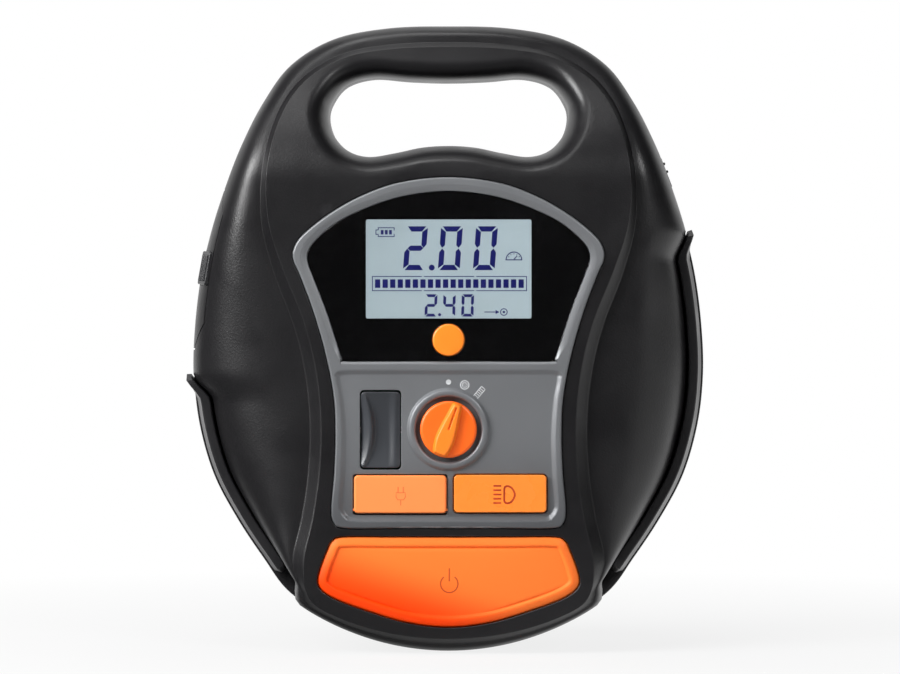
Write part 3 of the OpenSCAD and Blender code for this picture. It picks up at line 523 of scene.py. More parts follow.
# Grain of a moulded surface: fine pits and a slow unevenness of gloss and shade.
grain, new, link, given, result = shader_group(
    "moulded_grain", [("Scale", 1500.0), ("Smooth Above", ABOVE_ALL)], ["Height", "Mottle"])
fine = noise(new, link, given["Scale"], detail=3.0)
pits = new("ShaderNodeTexVoronoi")
link(new("ShaderNodeTexCoord").outputs["Object"], pits.inputs["Vector"])
link(maths(new, link, "MULTIPLY", given["Scale"], 0.7), pits.inputs["Scale"])
relief = maths(new, link, "ADD", fine, maths(new, link, "MULTIPLY", pits.outputs["Distance"], 0.5))
smooth_from = given["Smooth Above"]
smooth_to = maths(new, link, "ADD", smooth_from, 0.03)
kept = ranged(new, link, axes_of(new, link)["Z"], smooth_from, smooth_to, 1.0, 0.35)
link(maths(new, link, "MULTIPLY", relief, kept), result["Height"])
link(noise(new, link, 26.0, detail=5.0), result["Mottle"])

# Wear: rubbed edges, where handling has polished and paled the plastic, and smudges of touch.
wear, new, link, given, result = shader_group(
    "handling_wear", [("Edge From", 0.53), ("Edge To", 0.62), ("Smudge Scale", 60.0)], ["Edge", "Smudge"])
pointed = new("ShaderNodeNewGeometry").outputs["Pointiness"]
edge = ranged(new, link, pointed, given["Edge From"], given["Edge To"], 0.0, 1.0)
patchy = ranged(new, link, noise(new, link, 240.0, detail=4.0), 0.38, 0.66, 0.15, 1.0)
link(maths(new, link, "MULTIPLY", edge, patchy), result["Edge"])
smears = noise(new, link, given["Smudge Scale"], detail=6.0, distortion=0.6)
link(ranged(new, link, smears, 0.46, 0.66, 0.0, 1.0), result["Smudge"])


def use_group(new, group, **values):
    node = new("ShaderNodeGroup")
    node.node_tree = group
    for label, value in values.items():
        node.inputs[label.replace("_", " ")].default_value = value
    return node.outputs


def blended(new, link, mask, low, high):
    """A colour between two, by a mask."""
    node = new("ShaderNodeMix")
    node.data_type = "RGBA"
    link(mask, node.inputs["Factor"])
    for value, socket in ((low, node.inputs[6]), (high, node.inputs[7])):
        feed(link, value if hasattr(value, "is_linked") else (*value, 1), socket)
    return node.outputs[2]


def scaled(colour, share):
    """A colour made darker or paler by a factor, no brighter than white."""
    return [min(1, c * share) for c in colour]


def finish(name):
    """A new material with one surface shader, and the makers of its nodes and links."""
    material = bpy.data.materials.new(name)
    new, link = nodes_of(material)
    surface = new("ShaderNodeBsdfPrincipled")
    link(surface.outputs[0], new("ShaderNodeOutputMaterial").inputs["Surface"])
    return material, new, link, surface.inputs


def relieved(new, link, sockets, height, depth, strength=1.0):
    """Raises a pattern of heights to fine relief on a surface."""
    bump = new("ShaderNodeBump")
    bump.inputs["Strength"].default_value = strength
    bump.inputs["Distance"].default_value = depth
    link(height, bump.inputs["Height"])
    link(bump.outputs["Normal"], sockets["Normal"])


def plastic(name, colour, rough=0.42, grain_scale=1500.0, grain_depth=0.00002, uneven=0.12, edge_gain=1.8,
            smudge_gain=0.05, coat=0.0, smooth_above=ABOVE_ALL, specular=0.5, metallic=0.0, painted_shade=None):
    """Moulded plastic: grain, slow colour variation, rubbed edges and smudges.

    painted_shade = (colour, slant, from, to): painted shade; the colour darkens towards colour as z + slant *
    x falls.
    """
    material, new, link, sockets = finish(name)
    skin = use_group(new, grain, Scale=grain_scale, Smooth_Above=smooth_above)
    touch = use_group(new, wear)
    shade = blended(new, link, skin["Mottle"], scaled(colour, 1 - uneven), scaled(colour, 1 + uneven))
    # Painted shade: the base colour is darkened towards the given colour lower down, standing in for shade
    # that falls there.
    if painted_shade:
        tone, slant, low, high = painted_shade
        axes = axes_of(new, link)
        height = maths(new, link, "ADD", axes["Z"], maths(new, link, "MULTIPLY", axes["X"], slant))
        shade = blended(new, link, ranged(new, link, height, low, high, 1.0, 0.0, eased=True), shade, tone)
    worn = [min(1, c * edge_gain + 0.004) for c in colour]
    link(blended(new, link, touch["Edge"], shade, worn), sockets["Base Color"])
    sheen = ranged(new, link, skin["Mottle"], 0.3, 0.7, rough - 0.03, rough + 0.04)
    polish = maths(new, link, "MULTIPLY", touch["Smudge"], smudge_gain)
    link(maths(new, link, "SUBTRACT", sheen, polish), sockets["Roughness"])
    relieved(new, link, sockets, skin["Height"], grain_depth)
    for label, value in (("Coat Weight", coat), ("Coat Roughness", 0.12), ("Specular IOR Level", specular),
                         ("Metallic", metallic)):
        sockets[label].default_value = value
    return material


black_abs = plastic("black_abs", BLACK, rough=0.36, smooth_above=0.215, grain_depth=0.000045)

outline = smooth_loop(both_sides(HALF_OUTLINE))
outline_in = inward(outline)
grip_line = smooth_loop(both_sides(HALF_GRIP))
side_of = np.where(outline[:, 0] > 0, 1, -1)
rail_top = np.where(side_of > 0, RAIL_END[1], RAIL_END[-1])
channel_share = ease((rail_top - outline[:, 1]) / FADE)

back_curve = np.array(BACK_CURVE, float)
a, b, c, d = back_curve[:-3], back_curve[1:-2], back_curve[2:-1], back_curve[3:]
dense = [spline(a, b, c, d, t) for t in np.linspace(0, 1, 7)[:-1]]
flat_part = [(BACK_CURVE[-2][0], REAR_DEPTH), (2 * BACK_REACH, REAR_DEPTH)]
back_curve = np.concatenate([np.stack(dense, 1).reshape(-1, 2), flat_part])
back_curve[:, 1] = np.minimum(back_curve[:, 1], REAR_DEPTH)


def back_ring(in_by, depth, share):
    """A ring of the back: how far in, how deep, and its share of the hose channel's depth."""
    spot = outline + outline_in * (CHANNEL_DEPTH * share * channel_share)[:, None]
    return lifted(MIDDLE + (spot - MIDDLE) * (1 - in_by / BACK_REACH), depth)


def back_height(x, z):
    """Depth of the back at a point, from its share of the way out from the middle."""
    angle = np.arctan2(outline[:, 0], outline[:, 1] - MIDDLE[1])
    order = np.argsort(angle)
    reach = np.linalg.norm(outline - MIDDLE, axis=1)[order]
    here = np.arctan2(x, z - MIDDLE[1])
    limit = np.interp(here, angle[order], reach, period=2 * math.pi)
    in_by = BACK_REACH * (1 - np.hypot(x, z - MIDDLE[1]) / limit)
    return np.interp(in_by, back_curve[:, 0], back_curve[:, 1]) * thin(z)


def grip_rings(surface):
    """Rings of the finger opening, from the face to the parting plane."""
    rings = []
    for k in range(GRIP_STEPS, -1, -1):
        a = math.pi / 2 * k / GRIP_STEPS
        loop = inset(grip_line, -GRIP_ROUND * (1 - math.cos(a)))
        rings.append(draped(loop, surface, GRIP_STRAIGHT + (1 - GRIP_STRAIGHT) * math.sin(a)))
    return rings + [draped(grip_line, surface, depth) for depth in (GRIP_STRAIGHT * 0.5, 0.01)]


def rim(shape, loop, surface, drop):
    """Rounds the mouth of an opening and returns its outline on the surface."""
    rings = [draped(inset(loop, -wide), surface, shift=fall * drop) for wide, fall in quarter(EDGE_ROUND)]
    shape.strip(rings)
    return rings[0]


back = Moulding()
flange = outline + outline_in * (3 + 8 * channel_share)[:, None]
profile = [row for row in back_curve if 0.4 <= row[0] < SHEET_FROM]
edge_depth = float(np.interp(SHEET_FROM, back_curve[:, 0], back_curve[:, 1]))
rings = [lifted(flange, 0.0)] + [back_ring(*row) for row in BACK_SEAM]
rings += [back_ring(row[0], row[1], 0) for row in profile] + [back_ring(SHEET_FROM, edge_depth, 0)]
back.strip(rings)
grip = grip_rings(back_height)
back.strip(grip)
mouths = [rounded_box(*VENT_SIZE, steps=5, at=place) for place in VENTS]
width, height, corner = LAMP_SIZE
mouths.append(rounded_box(width + 2 * LAMP_GAP, height + 2 * LAMP_GAP, corner + LAMP_GAP, at=LAMP_AT))
holes = [rim(back, mouth, back_height, -1) for mouth in mouths]
curve_points = np.concatenate([MIDDLE + (outline[::3] - MIDDLE) * (1 - i / BACK_REACH)
                               for i in CONTOURS])
back.sheet(rings[-1], [grip[0], *holes], back_height, 3.2, extra=curve_points)
rear_shell = back.object("rear_shell_moulding", black_abs, wall=SHELL_WALL)


def door_loop(grow):
    """The side door's outline, as (depth, height)."""
    far, low, high = DOOR_BACK + grow, DOOR_LOW - grow, DOOR_HIGH + grow
    clip = DOOR_CLIP - grow / 2
    return np.array([
        (DOOR_FRONT_LOW - grow, DOOR_LOW + DOOR_CLIP), (DOOR_FRONT_LOW + clip, low), (far, low),
        (far, high), (DOOR_FRONT_HIGH + clip, high), (DOOR_FRONT_HIGH - grow, DOOR_HIGH - DOOR_CLIP)])


def door_block(name, grow):
    """A block through the left side wall over the door's outline."""
    loop = door_loop(grow)
    ends = [np.stack([np.full(len(loop), x), loop[:, 0], loop[:, 1]], 1) for x in DOOR_CUT]
    return block_between(name, ends)


def on_frame(frame_matrix, loop, low, high, name):
    """A block over a loop of (x, y) in a frame, from its z low to high."""
    return block_between(name, [on_z(loop, low), on_z(loop, high)], frame_matrix)


def port_cutters():
    """The seat of the charging cover, on a frame whose Z leaves the wall."""
    return [on_frame(PORT_INWARD, loop, low, high, name) for name, loop, low, high in (
        ("port_seat", rounded_box(14.6, 16.6, 1.8), -1.8, 12),
        ("port_well", rounded_box(14.7, 16.7, 0.4), -3.0, 0.5),
        ("port_bore", circle(5.6), -20, 0))]


def screw_well(x, z, seat):
    loop = circle(SCREW_HEAD_R + 0.3, at=(x, z))
    return block_between("screw_well", [level(loop, seat), level(loop, WELL_END)])


gland_radius, gland_from, gland_to = GLAND_BORE
carve(rear_shell, [door_block("door_gap", 0), *port_cutters(),
                   on_frame(GLAND_FRAME, circle(gland_radius), gland_from, gland_to, "gland_bore"),
                   *[screw_well(*place) for place in SCREWS]], solver="MANIFOLD")
ready(rear_shell, "housing", "rear_shell", slot="shell")


# ---------------------------------------------------------------- front shell
# The front half of the housing, moulded in the same black ABS: round shoulders, a sloping band
# up to the raised shield of the face, the seats of the panel and the power key, and the front
# half of the handle. It closes on the rear shell along a fine seam.

FRONT_DEPTH = 44.0
SHOULDER_DEPTH = 39.0
SQUARENESS = 0.8
HOOK = 12.0
HALF_FACE = [
    (0, 249.6), (22, 248.9), (41.5, 245.6), (56.5, 237.5), (66, 226), (71.8, 210.5), (74.4, 193),
    (73, 175), (67.2, 157), (58.6, 135.5), (53.6, 115), (51.6, 94), (52.3, 74), (55, 55),
    (58.8, 37), (56.5, 22.5), (43, 14.3), (22.5, 8.5), (0, 6.5)]
HALF_PANEL = [
    (0, 194.6), (20.2, 192.4), (36, 186.8), (49, 179.4), (59.5, 171), (63.2, 165.2), (63.2, 160.5),
    (60.6, 154.6), (55, 139.5), (50, 122), (46.8, 105), (46.1, 90), (46.6, 74), (47.8, 60),
    (46.8, 53.6), (42, 51.4), (20, 51.4), (0, 51.4)]
HALF_POWER = [
    (0, 47.7), (24, 47.7), (43, 47.7), (47.6, 46), (49.6, 42.2), (52, 36), (53.4, 30.4),
    (52, 26.4), (46, 22.4), (33, 17.6), (17, 12.9), (0, 11)]
BAND_WIDTH = (2.4, 5.5)
BAND_SOFT = 0.16
BAND_STEPS = (0.05, 0.1, 0.16, 0.3, 0.5, 0.7, 0.84, 0.9, 0.95, 1)
FRONT_SEAM = ((0.55, 0.0), (0.2, -0.15), (0.0, -0.5))
SHOULDER_TURNS = (2.2, 4, 6.5, 9, 12, 16, 20, 25, 30, 36, 42, 48, 54, 60, 66, 72, 78, 83, 87, 90)
PANEL_GAP, POWER_GAP = 0.25, 0.3

face_line = smooth_loop(both_sides(HALF_FACE))
panel_line = smooth_loop(both_sides(HALF_PANEL))
power_line = smooth_loop(both_sides(HALF_POWER))


def rail_share(z, top):
    """Share of its full depth that the rail's seat has at a height."""
    return ease((top - z) / HOOK) * ease((z - RAIL_LOW) / (FADE - 2))


def front_height(x, z):
    return -FRONT_DEPTH * thin(z) + 0 * x


def soft_ramp(u):
    """A straight slope from 0 to 1 with rounded ends."""
    k = BAND_SOFT
    u = np.asarray(u, float)
    low, high = u < k, u > 1 - k
    out = (u - k / 2) / (1 - k)
    out = np.where(low, u ** 2 / (2 * k * (1 - k)), out)
    return np.where(high, 1 - (1 - u) ** 2 / (2 * k * (1 - k)), out)


front_edge = outline + outline_in * (RAIL_OUT * rail_share(outline[:, 1], rail_top - FADE))[:, None]
away = front_edge - face_line
span = np.linalg.norm(away, axis=1)
narrow, wide = BAND_WIDTH
band = np.minimum(narrow + (wide - narrow) * ease((200 - face_line[:, 1]) / 60), 0.45 * span)
band_foot = face_line + away / span[:, None] * band[:, None]


def shoulder_ring(turn):
    """A ring of the round shoulder, by the degrees turned from the parting plane."""
    a = math.radians(turn)
    share = 1 - math.cos(a) ** SQUARENESS if turn < 90 else 1.0
    return lifted(front_edge + (band_foot - front_edge) * share, -SHOULDER_DEPTH * math.sin(a) ** SQUARENESS)


front = Moulding()
rings = [lifted(front_edge + outline_in * by, depth) for by, depth in FRONT_SEAM]
rings += [shoulder_ring(turn) for turn in SHOULDER_TURNS]
for u in BAND_STEPS:
    depth = SHOULDER_DEPTH + (FRONT_DEPTH - SHOULDER_DEPTH) * float(soft_ramp(u))
    rings.append(lifted(band_foot + (face_line - band_foot) * u, -depth))
front.strip(rings)
grip = grip_rings(front_height)
front.strip(grip)
holes = [rim(front, inset(panel_line, -PANEL_GAP), front_height, 1),
         rim(front, inset(power_line, -POWER_GAP), front_height, 1)]
front.sheet(rings[-1], [grip[0], *holes], front_height, 2.6)
front_shell = front.object("front_shell_moulding", black_abs, wall=SHELL_WALL)
carve(front_shell, [door_block("door_gap", 0), *port_cutters()])
ready(front_shell, "housing", "front_shell", slot="shell")


# ---------------------------------------------------------------- side rails
# The front lip of the hose channel: one satin ABS rail down each side, welded to the rim of the
# rear shell. Each hooks outwards at its upper end, where the hose goes in or comes out.

RAIL_FROM = 28.0
RAIL_FORWARD = 14.0
RAIL_FLARE = 3.2
RAIL_NOSE = 3.5
rail_abs = plastic("rail_abs", (0.0165, 0.016, 0.0175), rough=0.36, grain_depth=0.000016)


def rail_section(s):
    """Points of the rail's section as (distance inwards, depth), for a share s of its seat."""
    inner, outer, far = RAIL_OUT * s - 0.12, 3 * s - RAIL_FLARE * (1 - s), RAIL_FORWARD
    return [(inner, -0.02), (inner, -6), (inner, 1.1 - far), (inner - 0.12, 0.5 - far),
            (inner - 0.4, 0.13 - far), (inner - 0.85, -far), (outer + 0.75, -far), (outer + 0.35, 0.1 - far),
            (outer + 0.1, 0.35 - far), (outer, 0.8 - far), (outer - 0.35 * s + 0.02, 3.2 - far),
            (outer - 1.3 * s + 0.2, -7), (outer - 2.2 * s + 0.5, -4.6), (outer - 2.8 * s + 0.8, -2.4),
            (outer - 3 * s + 1.2, -0.02)]


for name, node, side in (("right_side_rail", "right_rail", 1), ("left_side_rail", "left_rail", -1)):
    top = RAIL_END[side] - FADE
    picked = sorted((i for i in range(len(outline)) if outline[i, 0] * side > 20
                     and RAIL_FROM < outline[i, 1] < top + 0.2), key=lambda i: outline[i, 1])
    rail = Moulding()
    rings = []
    for i in picked:
        z = outline[i, 1]
        section = np.array(rail_section(float(rail_share(z, top))))
        nose = min(z - outline[picked[0], 1], outline[picked[-1], 1] - z) / RAIL_NOSE
        k = math.sqrt(max(0, 1 - (1 - min(1, nose)) ** 2)) * 0.55 + 0.45
        middle = section[:, 0].mean()
        section = np.stack([middle + (section[:, 0] - middle) * k, section[:, 1] * (0.35 + 0.65 * k)], 1)
        rings.append([(outline[i, 0] + outline_in[i, 0] * q, y, outline[i, 1] + outline_in[i, 1] * q)
                      for q, y in section])
    rail.block(rings)
    ready(rail.object(name, rail_abs), "housing", node, slot="rail", sharp=40)


# ---------------------------------------------------------------- case screws
# Six cross-head screws, zinc-plated steel, driven from the back into bosses of the front shell.
# Each stopped at its own angle. One is modelled, and a tree of nodes sets it at each well.

# Turned shapes are written as (radius, height).
SCREW_HEAD = [(0, 0), (3.05, 0), (3.05, 0.7), (2.85, 1.3), (2.3, 1.9), (1.4, 2.3), (0, 2.4)]
SCREW_SEED = 7
CROSS = (3.9, 0.85)
CROSS_FROM, CROSS_TO = 1.0, 3.0
TO_BACK = frame_at((0, 0, 0), (-90, "X"))


def lathe(shape, profile, steps=48):
    """Turns a profile of (radius, height) round the Z axis."""
    shape.strip([on_z(circle(r, steps), z) for r, z in profile])


def metal(name, colour, rough=0.3, brush=0.06, scale=(60, 60, 900), tarnish=0.15):
    """Machined or plated metal: fine tool marks, a little tarnish in patches."""
    material, new, link, sockets = finish(name)
    sockets["Metallic"].default_value = 1.0
    stretch = new("ShaderNodeMapping")
    stretch.inputs["Scale"].default_value = scale
    link(new("ShaderNodeTexCoord").outputs["Object"], stretch.inputs["Vector"])
    marks = noise(new, link, 5.0, detail=4.0, where=stretch.outputs[0])
    patches = use_group(new, wear, Smudge_Scale=90.0)["Smudge"]
    link(blended(new, link, patches, colour, scaled(colour, 1 - tarnish)), sockets["Base Color"])
    lines = ranged(new, link, marks, 0.3, 0.7, rough - brush, rough + brush)
    link(maths(new, link, "ADD", lines, maths(new, link, "MULTIPLY", patches, 0.08)), sockets["Roughness"])
    relieved(new, link, sockets, marks, 0.00001, 0.6)
    return material


def repeat_tree():
    """A tree that sets a copy on each point, turned at random round Y, and gives it a material."""
    tree = bpy.data.node_groups.new("set_on_points", "GeometryNodeTree")
    face = tree.interface
    face.new_socket("Points", in_out="INPUT", socket_type="NodeSocketGeometry")
    for label, kind in (("Copy", "NodeSocketObject"), ("Turn", FLOAT), ("Seed", "NodeSocketInt"),
                        ("Material", "NodeSocketMaterial")):
        face.new_socket(label, in_out="INPUT", socket_type=kind)
    face.new_socket("Pieces", in_out="OUTPUT", socket_type="NodeSocketGeometry")
    new, link = tree.nodes.new, tree.links.new
    given = new("NodeGroupInput").outputs
    copy = new("GeometryNodeObjectInfo")
    link(given["Copy"], copy.inputs["Object"])
    chance = new("FunctionNodeRandomValue")
    link(given["Turn"], chance.inputs[3])
    link(given["Seed"], chance.inputs["Seed"])
    turn = new("ShaderNodeCombineXYZ")
    link(chance.outputs[1], turn.inputs["Y"])
    place = new("GeometryNodeInstanceOnPoints")
    link(given["Points"], place.inputs["Points"])
    link(copy.outputs["Geometry"], place.inputs["Instance"])
    link(turn.outputs[0], place.inputs["Rotation"])
    real = new("GeometryNodeRealizeInstances")
    link(place.outputs[0], real.inputs[0])
    paint = new("GeometryNodeSetMaterial")
    link(real.outputs[0], paint.inputs["Geometry"])
    link(given["Material"], paint.inputs["Material"])
    link(paint.outputs[0], new("NodeGroupOutput").inputs[0])
    return tree


set_on_points = repeat_tree()


def repeated(name, copy, spots, material, turn=0.0, seed=0, place=None):
    """One mesh of a copy at each spot (millimetres); the copy is then removed."""
    mesh = bpy.data.meshes.new(name)
    mesh.from_pydata([tuple(c * MM for c in spot) for spot in spots], [], [])
    thing = into_scene(name, mesh)
    row = thing.modifiers.new("row", "NODES")
    row.node_group = set_on_points
    values = {"Copy": copy, "Turn": turn, "Seed": seed, "Material": material}
    for item in set_on_points.interface.items_tree:
        if item.in_out == "INPUT" and item.name in values:
            row[item.identifier] = values[item.name]
    bake_modifiers(thing)
    bpy.data.objects.remove(copy)
    if place is not None:
        thing.data.transform(place)
    return thing


zinc = metal("zinc_plate", (0.56, 0.56, 0.55), rough=0.32, scale=(200, 200, 200))
head = Moulding()
lathe(head, SCREW_HEAD, steps=40)
screw = head.object("screw_copy", zinc, place=TO_BACK)
for slot_size in (CROSS, CROSS[::-1]):
    carve(screw, [on_frame(TO_BACK, rounded_box(*slot_size, 0.2, steps=2), CROSS_FROM, CROSS_TO, "cross")])
screws = repeated("case_screw_set", screw, [(x, seat, z) for x, z, seat in SCREWS], zinc,
                  turn=math.pi / 2, seed=SCREW_SEED)
ready(screws, "housing", "case_screws", slot="steel", sharp=40)


# ---------------------------------------------------------------- rubber feet
# Four round feet of black rubber, pressed into shallow seats of the back, on which the inflator
# lies with its display up. Each has a ring groove so that it grips.

FOOT = [(0, -1.2), (7.95, -1.2), (7.95, 1.2), (7.8, 1.6), (7.45, 1.9), (6.9, 2.0), (5.9, 2.0), (5.7, 1.8),
        (5.4, 1.45), (4.6, 1.45), (4.3, 1.8), (4.1, 2.0), (0, 2.0)]
FEET = [(-62, 66), (62, 66), (-54, 166), (54, 166)]
rubber = plastic("foot_rubber", (0.021, 0.0205, 0.02), rough=0.72, grain_scale=900.0, grain_depth=0.00004,
                 uneven=0.2, smudge_gain=0.1, specular=0.3)
foot = Moulding()
lathe(foot, FOOT, steps=56)
feet = repeated("rubber_foot_set", foot.object("foot_copy", rubber, place=TO_BACK),
                [(x, REAR_DEPTH, z) for x, z in FEET], rubber)
ready(feet, "housing", "rear_feet", slot="rubber_black")


# ---------------------------------------------------------------- work lamp
# A lamp on the back: a fluted lens of clear polycarbonate over a metallised reflector with three
# light sources on their board. The lens is snapped into the rear shell.

FLUTE = 2.2
FLUTE_DEPTH = 0.35
LENS_FRONT, LENS_BACK = 43.8, 41.0
LENS_REACH = (16.5, 6.6)
LENS_PITCH = 1.1
ACRYLIC_INDEX = 1.49


def clear(name, colour, rough=0.04):
    """Clear moulded plastic or glass, with faint unevenness of the surface."""
    material, new, link, sockets = finish(name)
    sockets["Transmission Weight"].default_value = 1.0
    sockets["IOR"].default_value = ACRYLIC_INDEX
    smudge = use_group(new, wear, Smudge_Scale=30.0)["Smudge"]
    link(blended(new, link, smudge, colour, scaled(colour, 0.97)), sockets["Base Color"])
    link(ranged(new, link, smudge, 0.0, 1.0, rough, rough + 0.035), sockets["Roughness"])
    return material


def fluted(x, z):
    """Depth of the lens's face, with its upright flutes."""
    return LENS_FRONT - FLUTE_DEPTH * (0.5 - 0.5 * np.cos(2 * math.pi * x / FLUTE)) + 0 * z


lamp_clear = clear("lamp_polycarbonate", (0.93, 0.95, 0.96))
lens = Moulding()
loop = rounded_box(*LAMP_SIZE, at=LAMP_AT)
rings = [level(loop, LENS_BACK), level(loop, LENS_FRONT - 0.6), level(inset(loop, 0.15), LENS_FRONT - 0.2),
         level(inset(loop, 0.5), LENS_FRONT)]
lens.strip(rings)
lens.cap(rings[0])
columns = np.arange(-LENS_REACH[0], LENS_REACH[0] + 0.1, FLUTE / 6) + LAMP_AT[0]
rows = np.arange(-LENS_REACH[1], LENS_REACH[1] + 0.1, LENS_PITCH) + LAMP_AT[1]
points = np.array([(x, z) for x in columns for z in rows])
lens.sheet(rings[-1], [], fluted, 5.0, extra=points)
ready(lens.object("lamp_lens_fluted", lamp_clear), "housing", "lamp_lens", slot="lamp_clear")


# ---------------------------------------------------------------- hose gland
# The rubber bush in which the air hose leaves the housing, behind the upper end of the right
# rail. It is lipped at its mouth and pushed through a bore of the rear shell.

GLAND = [(4.15, 0.5), (4.25, 0.15), (4.5, 0), (4.95, 0), (5.25, 0.15), (5.35, 0.5), (5.35, 2.2), (5.1, 2.5),
         (5.1, 3.1), (5.35, 3.4), (5.35, 11.5), (6.2, 11.7), (6.2, 13.3), (5.35, 13.5), (5.35, 15),
         (4.15, 15)]
bush = Moulding()
lathe(bush, GLAND + GLAND[:1], steps=56)
ready(bush.object("hose_gland_bush", rubber, place=GLAND_FRAME), "housing", "hose_gland", slot="rubber_black")


# ---------------------------------------------------------------- charging inlet cover
# A small hinged flap of black plastic over the charging inlet high on the right side. It swings
# on a pin along its lower edge and has two ribs for the finger nail.

COVER_SIZE = (14.0, 16.0, 1.5)
COVER_ROLL = 2.5
COVER_BARREL = 1.2
COVER_BACK, COVER_FRONT = -1.5, 0.5
COVER_RIBS = (1.5, 5.0)
PORT_OUTWARD = frame_at(PORT_PLACE, PORT_TURN, (90, "Z"), (90, "X"))


def pad(shape, loop, low, high, round_by):
    """A block with a rounded upper edge, over a loop of (x, y) in a frame."""
    rings = [on_z(loop, low)]
    rings += [on_z(inset(loop, draw), high - drop) for drop, draw in quarter(round_by, 5)]
    shape.block(rings)


def barrel(shape, radius, length, y, z, steps=24):
    """A hinge barrel along the X of a frame."""
    turns = [2 * math.pi * i / steps for i in range(steps)]
    shape.block([[(x, y + radius * math.cos(a), z + radius * math.sin(a)) for a in turns]
                 for x in (-length / 2, length / 2)])


flap_abs = plastic("flap_abs", (0.0175, 0.017, 0.018), rough=0.38, grain_depth=0.00001)
cover = Moulding()
width, height, corner = COVER_SIZE
leaf_loop = rounded_box(width, height - COVER_ROLL, corner, at=(0, COVER_ROLL / 2))
pad(cover, leaf_loop, COVER_BACK, COVER_FRONT, round_by=0.6)
barrel(cover, COVER_BARREL + 0.2, width - 0.4, COVER_BARREL - height / 2, COVER_BACK, steps=48)
for y in COVER_RIBS:
    pad(cover, rounded_box(9, 1.2, 0.55, at=(0, y)), low=0.3, high=1.4, round_by=0.5)
ready(cover.object("charge_cover_flap", flap_abs, place=PORT_OUTWARD), "charge_flap", "charge_cover",
      slot="rail")


# ---------------------------------------------------------------- adaptor compartment door
# The door of the side compartment for nozzle adaptors. It continues the round shoulder of the
# left side, is moulded with the housing's grain, and swings on a pin along its rear edge.

DOOR_GAP = 0.8
DOOR_WALL = 2.2
SKIN_LOW, SKIN_HIGH = 117, 199
SKIN_TURN, SKIN_IN = 60, 5.0
KNUCKLE_R = 1.7
BARREL_HALF = 6.0
KNUCKLES = (6.5, 12.5)
KNUCKLE_GAPS = ((-12.8, -6.2), (6.2, 12.8))
HINGE_FRAME = frame_at((-0.1013, 0.0242, 0.1575), (10.6, "Y"))
LATCH_FRAME = frame_at((-0.1011, -0.0175, 0.158), (10, "Y"), (17 - 90, "Z"), (90, "X"))

# The door's skin, from the rings of both shells, a little larger than the door that is cut from it.
skin_columns = [i for i in range(len(outline)) if outline[i, 0] < 0 and SKIN_LOW < outline[i, 1] < SKIN_HIGH]
skin_rows = [shoulder_ring(turn) for turn in reversed(SHOULDER_TURNS) if turn <= SKIN_TURN]
skin_rows += [back_ring(0.0, depth, 0) for depth in (0.2, 4, 8)]
skin_rows += [back_ring(row[0], row[1], 0) for row in back_curve if 0.4 <= row[0] < SKIN_IN]
leaf = Moulding()
leaf.strip([row[skin_columns] for row in skin_rows], closed=False)
door = leaf.object("side_door_leaf", black_abs)
if door.data.polygons[len(door.data.polygons) // 2].normal.x > 0:
    door.data.flip_normals()
thicken(door, DOOR_WALL)
carve(door, [door_block("door_edge", -DOOR_GAP)], "INTERSECT")
carve(door, [on_frame(LATCH_FRAME, rounded_box(15.6, 14.6, 1.2), -1.1, 6, "latch_seat"),
             *[on_frame(HINGE_FRAME, circle(KNUCKLE_R + 0.35), low, high, "knuckle_gap")
               for low, high in KNUCKLE_GAPS]])
ready(door, "door", "side_door", slot="shell")


def knuckle(shape, bore, low, high):
    """A bored cylinder of the hinge with bevelled ends."""
    bevel = KNUCKLE_R - 0.2
    lathe(shape, [(bore, low), (bevel, low), (KNUCKLE_R, low + 0.2), (KNUCKLE_R, high - 0.2), (bevel, high),
                  (bore, high), (bore, low)], steps=32)


hinge = Moulding()
knuckle(hinge, 0.85, -BARREL_HALF, BARREL_HALF)
ready(hinge.object("side_door_barrel", black_abs, place=HINGE_FRAME), "door", slot="shell")
hinge = Moulding()
knuckle(hinge, 0.8, -KNUCKLES[1], -KNUCKLES[0])
knuckle(hinge, 0.8, *KNUCKLES)
ready(hinge.object("door_knuckles", black_abs, place=HINGE_FRAME), "housing", slot="shell")


# ---------------------------------------------------------------- compartment latch
# A sliding catch of satin dark grey plastic let into the door. Five ribs across it give the thumb
# a hold. Its ribs are one bar repeated by the tree of nodes.

LATCH_SIZE = (13.0, 14.0, 1.2)
RIB_SIZE = (0.9, 11.0, 0.42)
RIB_SPOTS = [-3, -1, 1, 3, 5]
grey_satin = plastic("grey_satin", (0.022, 0.022, 0.024), rough=0.34, grain_scale=2200.0,
                     grain_depth=0.000008, uneven=0.05, edge_gain=1.35, smudge_gain=0.06)
slide = Moulding()
pad(slide, rounded_box(*LATCH_SIZE, at=(1, 0)), low=-1, high=0.9, round_by=0.45)
ready(slide.object("door_latch_slide", grey_satin, place=LATCH_FRAME), "latch", "door_latch",
      slot="latch_grey")
rib = Moulding()
pad(rib, rounded_box(*RIB_SIZE), low=0.7, high=1.4, round_by=0.35)
ribs = repeated("door_latch_ribs", rib.object("rib_copy", grey_satin), [(x, 0, 0) for x in RIB_SPOTS],
                grey_satin, place=LATCH_FRAME)
ready(ribs, "latch", slot="latch_grey")


# ---------------------------------------------------------------- control panel
# The bezel, ABS in satin silver grey paint, dropped into the shield and screwed from behind. Its
# upper part frames the display window, and its lower field lies a little deeper, with the knob's
# raised collar and the openings of the keys.

PANEL_BACK, PANEL_TOP, FIELD_TOP = 40.5, 45.0, 43.8
PANEL_ROUND = 0.9

# The flange behind the shell as (outwards, depth), the bevel of the window's frame as (width low down,
# width higher up, its foot's distance out, its foot's depth), the slope to the field as (out, in).
FLANGE = (1.5, 41.24)
LENS_BEVEL = (1.3, 3.1, 0.25, 44.3)
FIELD_SLOPE = (1.9, 0.7)

